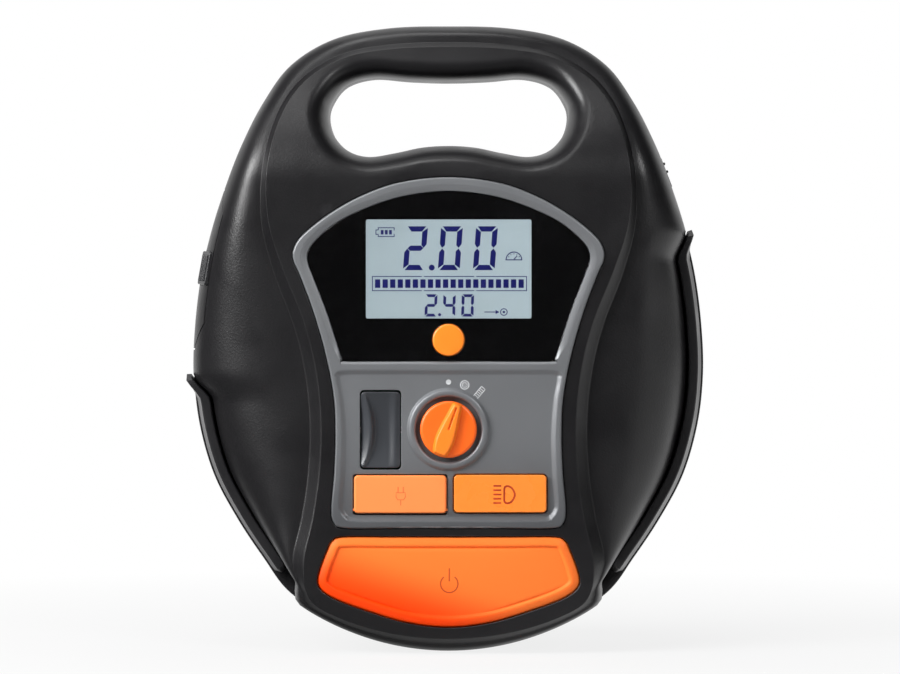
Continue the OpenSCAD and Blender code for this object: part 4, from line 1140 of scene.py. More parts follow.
LENS_SEAT = 42.4
COVER_FLOOR = 41.5
HALF_LENS = [
    (0, 188.9), (18, 186.9), (33, 182.2), (46, 175.8), (54.8, 168.2), (57.4, 163.6), (57.3, 159.6),
    (55.5, 154.6), (50, 140.5), (46.2, 129), (43.4, 120.6), (42.2, 119.5), (20, 119.5), (0, 119.5)]
HALF_FIELD = [
    (0, 114.4), (30, 114.4), (43.4, 114.2), (44.6, 112.2), (43.2, 104), (42.2, 90), (42.6, 74),
    (43.4, 62), (43, 58.8), (41.4, 56.6), (38.6, 55.7), (20, 55.6), (0, 55.6)]
GLASS_HOLE = (72.0, 42.8, (0.0, 158.0))
UNIT_AT, UNIT_HOLE = (0.0, 128.2), 6.8
KNOB_AT = (0.0, 91.7)

# The collar as (radius, depth), from its foot on the field to the bottom of the knob's well.
COLLAR = [(17.4, 43.8), (17.0, 43.85), (16.7, 44.1), (16.45, 44.5), (16.2, 44.95), (15.8, 45.25),
          (15.3, 45.4), (14.6, 45.4), (14.05, 45.25), (13.65, 44.9), (13.45, 44.3), (13.4, 43.0),
          (13.4, 41.6), (3.6, 41.6), (3.6, 40.5)]

ROCKER_AT, ROCKER_HOLE = (-27.7, 91.5), (16.8, 32.4, 1.7)
KEY_SIZE = (37.7, 15.3)
USB_AT, LIGHT_AT = (-19.7, 65.3), (21.1, 65.5)
KEY_HOLE = (38.6, 16.2, 1.9)
USB_HOLE = (38.6, 16.7, 1.1)
USB_HOLE_DROP = 0.25
SOCKET_HOLE = (13.6, 6.2, 0.8)
SOCKET_RISE = 1.0

# Painted shade: the bezel's grey darkens from 92 mm down to 48 mm high, standing in for the shade that falls
# on its lower part.
panel_grey = plastic("panel_grey", (0.175, 0.181, 0.19), rough=0.4, grain_scale=2600.0, grain_depth=0.000006,
                     uneven=0.04, edge_gain=1.2, smudge_gain=0.05, metallic=0.3,
                     painted_shade=((0.105, 0.109, 0.116), 0.0, 0.048, 0.092))
lens_line = smooth_loop(both_sides(HALF_LENS), 6)
field_line = smooth_loop(both_sides(HALF_FIELD), 6)


def drawn(loop, distance):
    """An inset loop whose tight corners come to a point instead of crossing themselves."""
    p = inset(loop, distance)
    count = len(p)
    for i in range(count):
        a, b = p[i], p[(i + 1) % count]
        for far in range(12, 1, -1):
            c, d = p[(i + far) % count], p[(i + far + 1) % count]
            along, across, gap = b - a, d - c, c - a
            det = along[0] * across[1] - along[1] * across[0]
            if abs(det) < 1e-9:
                continue
            t = (gap[0] * across[1] - gap[1] * across[0]) / det
            u = (gap[0] * along[1] - gap[1] * along[0]) / det
            if 0 < t < 1 and 0 < u < 1:
                for k in range(1, far + 1):
                    p[(i + k) % count] = a + along * t
                break
    return p


def mouth(shape, loop, top, floor, round_by=0.3):
    """The rounded mouth and the wall of an opening; gives its outline at the top and the floor."""
    rings = [level(inset(loop, -wide), fall - top) for wide, fall in quarter(round_by)]
    rings.append(level(loop, -floor))
    shape.strip(rings)
    return rings[0], rings[-1]


def flat_at(depth):
    """A flat surface at one depth."""
    return lambda x, z: -depth + 0 * x


panel = Moulding()
flange_out, flange_top = FLANGE
flange_line = inset(panel_line, -flange_out)
rings = [level(flange_line, -PANEL_BACK), level(flange_line, -flange_top), level(panel_line, -flange_top)]
rings += [level(drawn(panel_line, draw), drop - PANEL_TOP) for drop, draw in quarter(PANEL_ROUND, 5)]
panel.strip(rings)
panel_foot, frame_outer = rings[0], rings[-1]
bevel_low, bevel_wide, bevel_in, bevel_depth = LENS_BEVEL
bevel_out = (bevel_low + (bevel_wide - bevel_low) * ease((lens_line[:, 1] - 121) / 7))[:, None]
rings = []
for k in range(9):
    u = k / 8
    rings.append(level(drawn(lens_line, -(bevel_in + (bevel_out - bevel_in) * (1 - u))),
                       -PANEL_TOP + (PANEL_TOP - bevel_depth) * u ** 1.35))
rings.append(level(drawn(lens_line, -bevel_in), -LENS_SEAT))
panel.strip(rings)
lens_mouth, seat_outer = rings[0], rings[-1]
slope_out, slope_in = FIELD_SLOPE
rings = []
for k in range(9):
    u = k / 8
    rings.append(level(drawn(field_line, -slope_out + (slope_out + slope_in) * u),
                       -PANEL_TOP + (PANEL_TOP - FIELD_TOP) * float(ease(u))))
panel.strip(rings)
field_mouth, field_outer = rings[0], rings[-1]
panel.sheet(frame_outer, [lens_mouth, field_mouth], flat_at(PANEL_TOP), 4.0)
collar = [level(circle(r, 64, KNOB_AT), -h) for r, h in COLLAR]
panel.strip(collar)
width, height, centre = GLASS_HOLE
glass_hole = rounded_box(width, height, 0.6, at=centre)
_, glass_back = mouth(panel, glass_hole, LENS_SEAT, PANEL_BACK, 0.1)
unit_top, unit_back = mouth(panel, circle(UNIT_HOLE, 48, UNIT_AT), LENS_SEAT, PANEL_BACK, 0.1)
panel.sheet(seat_outer, [level(inset(glass_hole, -0.1), -LENS_SEAT), unit_top], flat_at(LENS_SEAT), 5.0)
rocker_top, rocker_back = mouth(panel, rounded_box(*ROCKER_HOLE, at=ROCKER_AT), FIELD_TOP, PANEL_BACK)
light_top, light_back = mouth(panel, rounded_box(*KEY_HOLE, at=LIGHT_AT), FIELD_TOP, PANEL_BACK)
usb_hole = rounded_box(*USB_HOLE, at=(USB_AT[0], USB_AT[1] - USB_HOLE_DROP))
usb_top, usb_floor = mouth(panel, usb_hole, FIELD_TOP, COVER_FLOOR)
socket_hole = rounded_box(*SOCKET_HOLE, at=(USB_AT[0], USB_AT[1] + SOCKET_RISE))
socket_top, socket_back = mouth(panel, socket_hole, COVER_FLOOR, PANEL_BACK, 0.2)
panel.sheet(usb_floor, [socket_top], flat_at(COVER_FLOOR), 4.0)
panel.sheet(field_outer, [collar[0], rocker_top, light_top, usb_top], flat_at(FIELD_TOP), 3.0)
panel.sheet(panel_foot, [glass_back, unit_back, collar[-1], rocker_back, light_back, socket_back],
            flat_at(PANEL_BACK), 6.0)
ready(panel.object("control_panel_bezel", panel_grey), "housing", "control_panel", slot="bezel_grey")


# ---------------------------------------------------------------- panel marks
# The knob's three settings are pad printed in white on the field: off, a tyre and an air bed.

PRINT_LIFT = 0.03
MARK_RADIUS = 19.3
TYRE_TURN, BED_TURN = 20, 40
white_ink = plastic("white_ink", (0.46, 0.47, 0.48), rough=0.5, grain_depth=0.000003, uneven=0.05)


def ribbon(shape, path, width, front, back, closed=False):
    """A raised line of a width along a flat path of (x, z), between two depths."""
    p = np.array(path, float)
    if closed:
        d = np.roll(p, -1, 0) - np.roll(p, 1, 0)
    else:
        d = np.gradient(p, axis=0)
    n = np.stack([d[:, 1], -d[:, 0]], 1) / np.maximum(1e-9, np.linalg.norm(d, axis=1))[:, None] * width / 2
    outer, inner = p + n, p - n
    rings = [level(outer, back), level(outer, front), level(inner, front), level(inner, back)]
    if closed:
        shape.strip([*rings, rings[0]])
    else:
        shape.block([np.array([ring[i] for ring in rings]) for i in range(len(p))])


def island(shape, loop, front, back):
    """A raised flat shape over a loop of (x, z), between two depths."""
    loop = np.array(loop, float)
    shape.block([level(loop, back), level(loop, front)])


def arc(radius, start, end, steps, at=(0, 0)):
    """Points of an arc in degrees, measured from straight up, clockwise."""
    a = np.radians(np.linspace(start, end, steps))
    return np.stack([at[0] + radius * np.sin(a), at[1] + radius * np.cos(a)], 1)


def round_the_knob(points, angle):
    """Turns points drawn above the knob's centre clockwise round it."""
    a = math.radians(angle)
    p = np.array(points, float)
    return np.stack([KNOB_AT[0] + p[:, 0] * math.cos(a) + p[:, 1] * math.sin(a),
                     KNOB_AT[1] - p[:, 0] * math.sin(a) + p[:, 1] * math.cos(a)], 1)


marks = Moulding()
print_front, print_back = -FIELD_TOP - PRINT_LIFT, -FIELD_TOP + 0.1


def mark(points, turn, width, closed=True):
    """A printed line, drawn above the knob's centre and turned round it."""
    ribbon(marks, round_the_knob(points, turn), width, print_front, print_back, closed)


mark_at = (0, MARK_RADIUS)
island(marks, round_the_knob(circle(1.05, 24, mark_at), 0), print_front, print_back)
mark(circle(1.72, 32, mark_at), TYRE_TURN, 0.32)
mark(circle(1.02, 24, mark_at), TYRE_TURN, 0.22)
for turn in range(0, 360, 60):
    mark([arc(r, turn, turn, 1, mark_at)[0] for r in (0.35, 0.95)], TYRE_TURN, 0.14, closed=False)
mark(rounded_box(2.0, 5.2, 0.3, steps=2, at=(0, MARK_RADIUS + 0.2)), BED_TURN, 0.2)
for across in range(5):
    rib = [(side * 0.85, MARK_RADIUS - 1.6 + 0.85 * across) for side in (-1, 1)]
    mark(rib, BED_TURN, 0.18, closed=False)
ready(marks.object("knob_setting_marks", white_ink), "housing", slot="white_plastic")


# ---------------------------------------------------------------- display window
# A plate of clear acrylic, printed black on its back except over the glass, pressed into the
# panel with a hole for the unit button. The print gives it its deep gloss.

# Depths of the window's face and back and its bevel, and the print's opening as (width, height,
# corner radius, centre).
WINDOW = (44.4, 42.62, 0.22)
PRINT_OPENING = (67.6, 40.5, 0.8, (0.05, 157.15))
PRINT_DEPTHS = (42.6, 42.52)
WINDOW_HOLD = 0.6
window_acrylic = clear("window_acrylic", (0.985, 0.99, 0.99), rough=0.008)
window_print = plastic("window_print", (0.0032, 0.003, 0.0036), rough=0.5, grain_depth=0.000002, uneven=0.03,
                       specular=0.0)

window = Moulding()
front_at, back_at, bevel = WINDOW
rings = [level(lens_line, -back_at)]
rings += [level(drawn(lens_line, draw), drop - front_at) for drop, draw in quarter(bevel)]
rings.append(level(drawn(lens_line, bevel + WINDOW_HOLD), -front_at))
window.strip(rings)
button_hole = circle(UNIT_HOLE, 48, UNIT_AT)
hole_top, hole_foot = mouth(window, button_hole, front_at, back_at, bevel)
hole_flat = level(circle(UNIT_HOLE + bevel + WINDOW_HOLD, 48, UNIT_AT), -front_at)
window.strip([hole_flat, hole_top])
window.sheet(rings[-1], [hole_flat], flat_at(front_at), 9.0)
window.sheet(rings[0], [hole_foot], flat_at(back_at), 9.0)
ready(window.object("display_window", window_acrylic), "housing", "display_lens", slot="lens_black")
film = Moulding()
width, height, corner, centre = PRINT_OPENING
opening = rounded_box(width, height, corner, at=centre)
film_loops = (drawn(lens_line, 0.02), opening, button_hole)
for depth in PRINT_DEPTHS:
    film_edge, *film_holes = [level(loop, -depth) for loop in film_loops]
    film.sheet(film_edge, film_holes, flat_at(depth), 9.0)
for loop in film_loops:
    film.strip([level(loop, -depth) for depth in PRINT_DEPTHS])
ready(film.object("window_black_print", window_print), "housing", slot="lens_black")


# ---------------------------------------------------------------- liquid crystal glass
# A transmissive segment display, lit from behind by a pale diffuser. The dark segments lie on the
# glass: the pressure and its gauge sign, the bar of twenty blocks, the set pressure with an arrow
# to a target, and the battery.

GLASS = (-35.6, 35.6, 137.0, 179.0, 42.4, 40.6)
SEGMENTS_BACK, SEGMENTS_FRONT = -42.39, -42.46
GLASS_TONE = (0.40, 0.49, 0.53)
SEGMENT_NAVY = (0.006, 0.008, 0.125)

# Digits as (text, middles, height of their middle, width, height, stroke, slant), the frame as (left,
# right, low, high), the blocks as (count, first, last, height of their middle, width, height), the
# points as (x, z, radius, steps), and the battery's strokes as (x, z, x, z).
BIG_DIGITS = ("200", (-13.5, 0.75, 15.05), 165.65, 8.9, 17.9, 2.15, 0.075)
SMALL_DIGITS = ("240", (-7.15, 0.3, 7.8), 142.3, 5.0, 9.1, 1.15, 0.03)
SEGMENTS = {"0": "abcdef", "2": "abged", "4": "fgbc"}
GAUGE_FRAME = (-31.1, 31.85, 148.3, 154.1)
GAUGE_BREAKS = (-10.5, 10.9)
BLOCKS = (20, -28.95, 29.65, 151.2, 2.15, 3.5)
POINTS = ((-6.85, 157.75, 1.2, 28), (-3.65, 138.5, 0.62, 20))
FINE_STROKE = 0.34
BATTERY = [
    (-28.87, 174.0, -22.03, 174.0), (-28.87, 170.4, -22.03, 170.4), (-22.2, 172.9, -22.2, 174.0),
    (-22.2, 170.4, -22.2, 171.5), (-28.7, 173.1, -28.7, 174.0), (-28.7, 170.4, -28.7, 171.3),
    (-29.8, 173.1, -28.6, 173.1), (-29.8, 171.3, -28.6, 171.3), (-29.65, 171.2, -29.65, 173.2)]
CELL_BARS = (-27.1, -25.4, -23.7)
DIAL_AT = (26.7, 160.9)
AIM_AT = (22.6, 139.6)


def glowing(name, tone, strength, uneven, side=0.0):
    """A lit surface: its own light, uneven as a diffuser is and stronger to one side."""
    material, new, link, sockets = finish(name)
    patches = use_group(new, grain, Scale=700.0)
    across = ranged(new, link, axes_of(new, link)["X"], -0.036, 0.036, -side, side)
    share = maths(new, link, "ADD", ranged(new, link, patches["Mottle"], 0.3, 0.7, 0.3, 0.7), across)
    lit = blended(new, link, share, scaled(tone, 1 - uneven), scaled(tone, 1 + uneven))
    link(lit, sockets["Emission Color"])
    sockets["Emission Strength"].default_value = strength
    dull = blended(new, link, patches["Mottle"], scaled(tone, 0.4), scaled(tone, 0.45))
    link(dull, sockets["Base Color"])
    link(ranged(new, link, patches["Height"], 0.0, 1.0, 0.3, 0.36), sockets["Roughness"])
    return material


glass_lit = glowing("crystal_glass_lit", GLASS_TONE, 0.85, 0.1, side=0.35)
segment_ink = glowing("crystal_segment", SEGMENT_NAVY, 0.8, 0.1)
glass = Moulding()
x0, x1, z0, z1, near, far = GLASS
loop = rounded_box(x1 - x0, z1 - z0, 0.3, steps=2, at=((x0 + x1) / 2, (z0 + z1) / 2))
island(glass, loop, -near, -far)
ready(glass.object("crystal_glass", glass_lit), "housing", "lcd_glass", slot="lcd")


def digit_segments(width, height, stroke):
    """Outlines of the seven segments of a digit, about its centre, with mitred ends."""
    w, h, t, gap = width / 2, height / 2, stroke, stroke * 0.07
    m, k = t / 2, 0.72 * t

    def flip(points, sx, sz):
        return [(x * sx, z * sz) for x, z in points]

    top = [(-w + gap + 0.25 * t, h), (w - gap - 0.25 * t, h), (w - t - gap, h - t), (-w + t + gap, h - t)]
    right = [(w, h - gap - 0.25 * t), (w, gap + k), (w - m, gap), (w - t, gap + m), (w - t, h - t - gap)]
    middle = [(-w + gap + m, 0), (-w + t + gap, m), (w - t - gap, m), (w - gap - m, 0), (w - t - gap, -m),
              (-w + t + gap, -m)]
    return {"a": top, "b": right, "c": flip(right, 1, -1), "d": flip(top, 1, -1), "e": flip(right, -1, -1),
            "f": flip(right, -1, 1), "g": middle}


def wound_clockwise(points):
    p = np.array(points, float)
    area = np.sum(p[:, 0] * np.roll(p[:, 1], -1) - np.roll(p[:, 0], -1) * p[:, 1])
    return p[::-1] if area > 0 else p


figures = Moulding()


def figure(points):
    island(figures, wound_clockwise(points), SEGMENTS_FRONT, SEGMENTS_BACK)


def stroke_along(points, width, closed=False):
    ribbon(figures, points, width, SEGMENTS_FRONT, SEGMENTS_BACK, closed)


for text, centres, height_at, width, height, stroke, slant in (BIG_DIGITS, SMALL_DIGITS):
    shapes = digit_segments(width, height, stroke)
    for digit, centre in zip(text, centres):
        for key in SEGMENTS[digit]:
            figure([(centre + x + slant * z, height_at + z) for x, z in shapes[key]])
for x, z, radius, steps in POINTS:
    figure(circle(radius, steps, (x, z)))
left, right, low, high = GAUGE_FRAME
for z in (low, high):
    ends = [left, *[side for x in GAUGE_BREAKS for side in (x - 0.4, x + 0.4)], right]
    for a, b in zip(ends[::2], ends[1::2]):
        stroke_along([(a, z), (b, z)], FINE_STROKE)
for x in (left, right):
    stroke_along([(x, low - FINE_STROKE / 2), (x, high + FINE_STROKE / 2)], FINE_STROKE)
for x_from, z_from, x_to, z_to in BATTERY:
    stroke_along([(x_from, z_from), (x_to, z_to)], FINE_STROKE)
for x in CELL_BARS:
    figure([(x - 0.55, 171.25), (x + 0.55, 171.25), (x + 0.55, 173.1), (x - 0.55, 173.1)])
x, z = DIAL_AT
stroke_along(arc(3.2, -90, 90, 19, DIAL_AT), 0.42)
stroke_along([(x - 3.4, z), (x + 3.4, z)], 0.42)
for turn in (-60, -30, 0, 30, 60):
    stroke_along([arc(r, turn, turn, 1, DIAL_AT)[0] for r in (2.2, 2.75)], 0.28)
stroke_along([(x, z + 0.2), arc(2.1, 38, 38, 1, DIAL_AT)[0]], 0.4)
x, z = AIM_AT
stroke_along(circle(1.35, 28, AIM_AT), 0.36, closed=True)
figure(circle(0.5, 16, AIM_AT))
stroke_along([(x - 8.0, z), (x - 3.2, z)], 0.36)
figure([(x - 3.4, z + 0.85), (x - 1.8, z), (x - 3.4, z - 0.85)])
ready(figures.object("display_figures", segment_ink), "housing", slot="lcd")
count, first, last, height_at, width, height = BLOCKS
block = Moulding()
island(block, rounded_box(width, height, 0.12, steps=1), SEGMENTS_FRONT, SEGMENTS_BACK)
spots = [(first + (last - first) * k / (count - 1), 0, height_at) for k in range(count)]
blocks = repeated("pressure_bar_blocks", block.object("block_copy", segment_ink), spots, segment_ink)
ready(blocks, "housing", slot="lcd")


# ---------------------------------------------------------------- unit button
# A round push button of glossy orange ABS, slightly crowned, standing through the window.

UNIT_CAP = [(0, 40.0), (8, 40.0), (8, 40.6), (6.5, 40.6), (6.5, 44.9), (6.42, 45.15), (6.2, 45.38),
            (5.8, 45.5), (4.5, 45.58), (2.2, 45.6), (0, 45.6)]


def at_panel(spot):
    """A frame on the face: X right, Y up, Z towards the user."""
    return frame_at((spot[0] * MM, 0, spot[1] * MM), (90, "X"))


def orange(name, colour, rough, coat=0.0, specular=0.5, painted_shade=None):
    """The keys' orange: a finer grain and hardly any wear."""
    return plastic(name, colour, rough=rough, grain_scale=2600.0, grain_depth=0.000004, uneven=0.035,
                   edge_gain=1.06, coat=coat, specular=specular, painted_shade=painted_shade)


orange_key = orange("orange_unit_key", (1.0, 0.235, 0.014), 0.34)
button = Moulding()
lathe(button, UNIT_CAP, steps=64)
ready(button.object("unit_button_cap", orange_key, place=at_panel(UNIT_AT)), "unit_key", "unit_button",
      slot="orange_gloss")


# ---------------------------------------------------------------- mode knob
# An orange ABS disc with a tapered finger grip across it. A slot moulded in the grip points at
# the chosen mark. It is pushed on the stem of the rotary switch and here stands at the tyre.

KNOB_DISC = [(0, 41.9), (11.6, 41.9), (11.6, 45.2), (11.52, 45.65), (11.3, 46.0), (10.95, 46.28),
             (10.5, 46.42), (9.9, 46.48), (8, 46.5), (0, 46.5)]
GRIP_REACH = 11.3
HALF_GRIP_PLAN = [(0.75, 10.6), (1.5, 9.9), (2.2, 5.5), (2.9, 1.0), (3.4, -4.0), (3.1, -7.5), (2.5, -9.8),
                  (1.8, -10.5)]
GRIP_SIDE = [(0.75, 46.3), (0.68, 46.55), (0.45, 47.0), (0.0, 48.3), (-0.14, 48.62), (-0.36, 48.82),
             (-0.62, 48.9)]
GRIP_TOP = GRIP_SIDE[-1][1]

# The slot in the grip as (width, length, its middle's distance from the spindle, depth).
SLOT = (0.8, 9.6, 4.7, 0.75)

orange_knob = orange("orange_knob", (1.0, 0.14, 0.006), 0.36)
# Painted highlight: disc and grip are one moulding, but the grip gets a paler copy of the disc's orange,
# standing in for the light that its front faces catch.
orange_grip_painted_highlight = orange("orange_knob_grip_painted_highlight", (1.0, 0.225, 0.014), 0.34)
knob = Moulding()
lathe(knob, KNOB_DISC + [(0, 46.5)], steps=96)
ready(knob.object("mode_knob_disc", orange_knob, place=at_panel(KNOB_AT)), "knob", "mode_knob",
      slot="orange_gloss")
mirrored = [(-x, z) for x, z in reversed(HALF_GRIP_PLAN)]
plan = smooth_loop(mirrored[-1:] + HALF_GRIP_PLAN + mirrored[:-1], 5)
grip_bar = Moulding()
rings = []
for grow, height in GRIP_SIDE:
    loop = drawn(plan, -grow)
    loop *= np.minimum(1, GRIP_REACH / np.hypot(loop[:, 0], loop[:, 1]))[:, None]
    rings.append(level(round_the_knob(loop, TYRE_TURN), -height))
grip_bar.strip(rings)
grip_bar.cap(rings[0])
width, length, middle, depth = SLOT
slot = []
for grow, down in ((0.22, 0.0), (0.08, 0.06), (0.0, 0.2), (0.0, depth - 0.15), (-0.12, depth)):
    loop = inset(rounded_box(width, length, 0.42, at=(0, middle)), -grow)
    slot.append(level(round_the_knob(loop, TYRE_TURN), down - GRIP_TOP))
grip_bar.strip(slot)
grip_bar.cap(slot[-1])
grip_bar.sheet(rings[-1], [slot[0]], flat_at(GRIP_TOP), 0.9)
ready(grip_bar.object("mode_knob_grip", orange_grip_painted_highlight), "knob", slot="orange_gloss", sharp=48)


# ---------------------------------------------------------------- set rocker
# The plus and minus key: one paddle of dark grey satin ABS that rocks on a steel pin. Its face is
# hollowed for the thumb, with a crescent ridge along its left side and a soft lip on its right.

ROCKER_SIZE = (16.2, 31.0, 1.7)
ROCKER_BASE = 41.2
ROCKER_EDGE = 0.4
ROCKER_PIN_Y = 39.5
rocker_grey = plastic("rocker_grey", (0.038, 0.041, 0.047), rough=0.32, grain_scale=2400.0,
                      grain_depth=0.000006, uneven=0.06, edge_gain=1.7)


def rocker_height(x, z):
    """Depth of the paddle's face at a point measured from the paddle's middle.

    The ridge's crest and foot are distances from the left edge, and the hollow's floor and the
    ridge's lift are heights. All four change from the middle of the paddle to its ends.
    """
    t = np.clip(np.abs(z) / (ROCKER_SIZE[1] / 2), 0, 1)
    u = x + ROCKER_SIZE[0] / 2
    bulge = 1 - t ** 2
    crest = 1.0 + 3.1 * bulge
    foot = crest + 0.5 + 1.9 * bulge ** 0.8
    floor = 42.75 + 1.75 * t ** 2.2
    lift = 0.15 + 2.0 * bulge ** 0.7
    rise = floor + lift - 2.6 * (1 - t ** 3) * (1 - np.clip(u / crest, 0, 1)) ** 1.25
    fall = floor + lift * (1 - ease((u - crest) / (foot - crest)))
    lip = 1.05 * bulge ** 0.5 * ease((u - 11.2) / 3.0) - 0.55 * ease((u - 14.2) / 2.0)
    return -(np.where(u < crest, rise, fall) + lip)


paddle = Moulding()
plan = rounded_box(*ROCKER_SIZE, steps=5)
fine_plan = np.concatenate([np.linspace(a, b, 2 + int(np.linalg.norm(b - a) / 0.8))[:-1]
                            for a, b in zip(plan, np.roll(plan, -1, 0))])
rings = [level(fine_plan, -ROCKER_BASE)]
rings += [draped(inset(fine_plan, draw), rocker_height, shift=drop) for drop, draw in quarter(ROCKER_EDGE, 4)]
paddle.strip(rings)
paddle.cap(rings[0])
paddle.sheet(rings[-1], [], rocker_height, 0.55)
barrel(paddle, 2.85, ROCKER_SIZE[0] - 0.8, -ROCKER_PIN_Y, 0, steps=40)
ready(paddle.object("set_rocker_paddle", rocker_grey,
                    place=Matrix.Translation((ROCKER_AT[0] * MM, 0, ROCKER_AT[1] * MM))),
      "rocker", "set_rocker", slot="dark_grey", sharp=50)


# ---------------------------------------------------------------- USB outlet cover
# A flap of matte orange elastomer-coated plastic, hinged on a pin along its lower edge. A small
# plug sign in a deeper orange is printed on its face. Its seat is a little taller below the pin
# and squarer in its corners, so that the flap clears it when it swings open.

COVER_TOP, COVER_LOW = 45.0, 43.0
COVER_PLAN = (37.7, 15.4, 1.6)
COVER_DROP = 0.05
HINGE_R = 1.2
HINGE_Z = HINGE_R - KEY_SIZE[1] / 2
orange_soft = orange("orange_soft_cover", (1.0, 0.25, 0.055), 0.62)
orange_mark = orange("orange_soft_mark", (0.68, 0.13, 0.022), 0.6)
cover = Moulding()
pad(cover, rounded_box(*COVER_PLAN, at=(0, -COVER_DROP)), COVER_LOW, COVER_TOP, round_by=0.85)
barrel(cover, HINGE_R, KEY_SIZE[0] - 0.8, HINGE_Z, COVER_LOW)
barrel(cover, 0.58, KEY_SIZE[0] + 1.7, HINGE_Z, COVER_LOW, steps=16)
ready(cover.object("usb_cover_flap", orange_soft, place=at_panel(USB_AT)), "usb_flap", "usb_cover",
      slot="orange_matte")
sign = Moulding()
x, z = USB_AT[0] + 0.2, USB_AT[1]
sign_front, sign_back = -COVER_TOP - 0.02, -COVER_TOP + 0.1
plug = [(x - 1.9, z + 0.6), (x + 1.9, z + 0.6), (x + 1.9, z - 1.2), (x + 1.2, z - 2.3), (x - 1.2, z - 2.3),
        (x - 1.9, z - 1.2)]
ribbon(sign, plug, 0.42, sign_front, sign_back, closed=True)
for side in (-1, 1):
    ribbon(sign, [(x + side * 1.05, z + 0.8), (x + side * 1.05, z + 3.0)], 0.5, sign_front, sign_back)
ribbon(sign, [(x, z - 2.4), (x, z - 4.6)], 0.42, sign_front, sign_back)
ready(sign.object("usb_cover_sign", orange_mark), "usb_flap", slot="orange_matte")


# ---------------------------------------------------------------- light button
# The key of the work lamp, in glossier orange ABS, with the lamp sign printed in dark red.

LIGHT_TOP = 45.2
LIGHT_FLANGE = (40, 17.4, 1.5)
BEAM_LOW, BEAM_PITCH = 61.7, 1.75
BULB = [(22.75, 62.6), (22.75, 65.1), (22.75, 67.6), (23.2, 68.35), (24.0, 68.6), (25.3, 68.2), (26.35, 67.1),
        (26.95, 65.6), (26.95, 64.6), (26.35, 63.1), (25.3, 62.0), (24.0, 61.6), (23.2, 61.85)]
orange_gloss = orange("orange_gloss_key", (1.0, 0.25, 0.03), 0.3, coat=0.25)
red_ink = plastic("red_ink", (0.30, 0.022, 0.002), rough=0.45, grain_depth=0.000002, uneven=0.05)
key = Moulding()
pad(key, rounded_box(*LIGHT_FLANGE), low=39.3, high=40.35, round_by=0.2)
pad(key, rounded_box(*KEY_SIZE, 1.6), low=40.0, high=LIGHT_TOP, round_by=0.5)
ready(key.object("light_button_cap", orange_gloss, place=at_panel(LIGHT_AT)), "light_key", "light_button",
      slot="orange_gloss")
sign = Moulding()
sign_front, sign_back = -LIGHT_TOP - 0.02, -LIGHT_TOP + 0.1
for row in range(5):
    z = BEAM_LOW + BEAM_PITCH * row
    ribbon(sign, [(18.3, z), (21.5, z)], 0.68, sign_front, sign_back)
ribbon(sign, smooth_loop(BULB, 4), 0.76, sign_front, sign_back, closed=True)
ready(sign.object("light_button_sign", red_ink), "light_key", slot="orange_gloss")


# ---------------------------------------------------------------- power button
# The large key at the foot of the shield, satin orange ABS: a raised rim runs round a softly domed face, and
# the power sign stands on it. The key's orange is painted deeper towards its lower left as painted shade, and
# the sign is painted a darker orange as shade of its raised lines. A flange holds it from behind.

POWER_BACK = 40.6
POWER_FLANGE = (1.4, 39.75, 40.7)

# The rim's section as (distance in, depth), from the side of the key to the foot of its inner slope.
POWER_EDGE = [(0.0, 42.5), (0.12, 42.95), (0.42, 43.3), (0.9, 43.58), (1.6, 43.88), (2.3, 44.14),
              (2.85, 44.28), (3.3, 44.3), (3.65, 44.15), (3.95, 43.85), (4.2, 43.5), (4.5, 43.3),
              (4.9, 43.22)]

POWER_FLAT, POWER_DOME = 43.22, 1.25
DOME_AT, DOME_HALF = 31.5, (50.0, 15.0)
SIGN_AT = (0.3, 28.7)
SIGN_LIFT, SIGN_STROKE = 0.02, 0.52
# Painted shade: the key's orange is painted deeper and redder towards its lower left, standing in for the
# shade on that side of its domed face.
orange_power = orange("orange_power_key", (1.0, 0.19, 0.03), 0.44, specular=0.15,
                      painted_shade=((0.95, 0.055, 0.0005), 0.35, 0.01, 0.033))
# Painted shade: the sign is painted a darker orange than the key, standing in for the shade along its raised
# lines.
orange_sign_painted_shade = orange("orange_power_sign_painted_shade", (0.46, 0.05, 0.002), 0.45)


def power_face(x, z):
    """Depth of the domed face inside the rim."""
    u = np.clip(1 - ((z - DOME_AT) / DOME_HALF[1]) ** 2, 0, 1) * np.clip(1 - (x / DOME_HALF[0]) ** 2, 0, 1)
    return -(POWER_FLAT + POWER_DOME * u ** 0.8)


key = Moulding()
rings = [level(power_line, -POWER_BACK)] + [level(drawn(power_line, by), -depth) for by, depth in POWER_EDGE]
inner = rings[-1]
inner[:, 1] = power_face(inner[:, 0], inner[:, 2])
key.strip(rings)
key.sheet(inner, [], power_face, 1.6)
key.cap(rings[0])
flange_out, flange_back, flange_front = POWER_FLANGE
tab = Moulding()
island(tab, inset(power_line, -flange_out), -flange_front, -flange_back)
ready(key.object("power_button_cap", orange_power), "power_key", "power_button", slot="orange_gloss",
      sharp=50)
ready(tab.object("power_button_flange", orange_power), "power_key", slot="orange_gloss")
sign = Moulding()


def line_on_dome(path):
    """A line that follows the domed face, just proud of it."""
    part = Moulding()
    ribbon(part, path, SIGN_STROKE, 0.0, 0.2)
    points = np.array(part.points)
    points[:, 1] += power_face(points[:, 0], points[:, 2]) - SIGN_LIFT
    start = sign.add(points)
    sign.faces += [tuple(start + i for i in face) for face in part.faces]


line_on_dome(arc(3.55, 38, 322, 40, SIGN_AT))
line_on_dome([(SIGN_AT[0], SIGN_AT[1] + z) for z in (1.0, 2.4, 3.8, 5.2, 6.4)])
ready(sign.object("power_button_sign", orange_sign_painted_shade), "power_key", slot="orange_gloss")


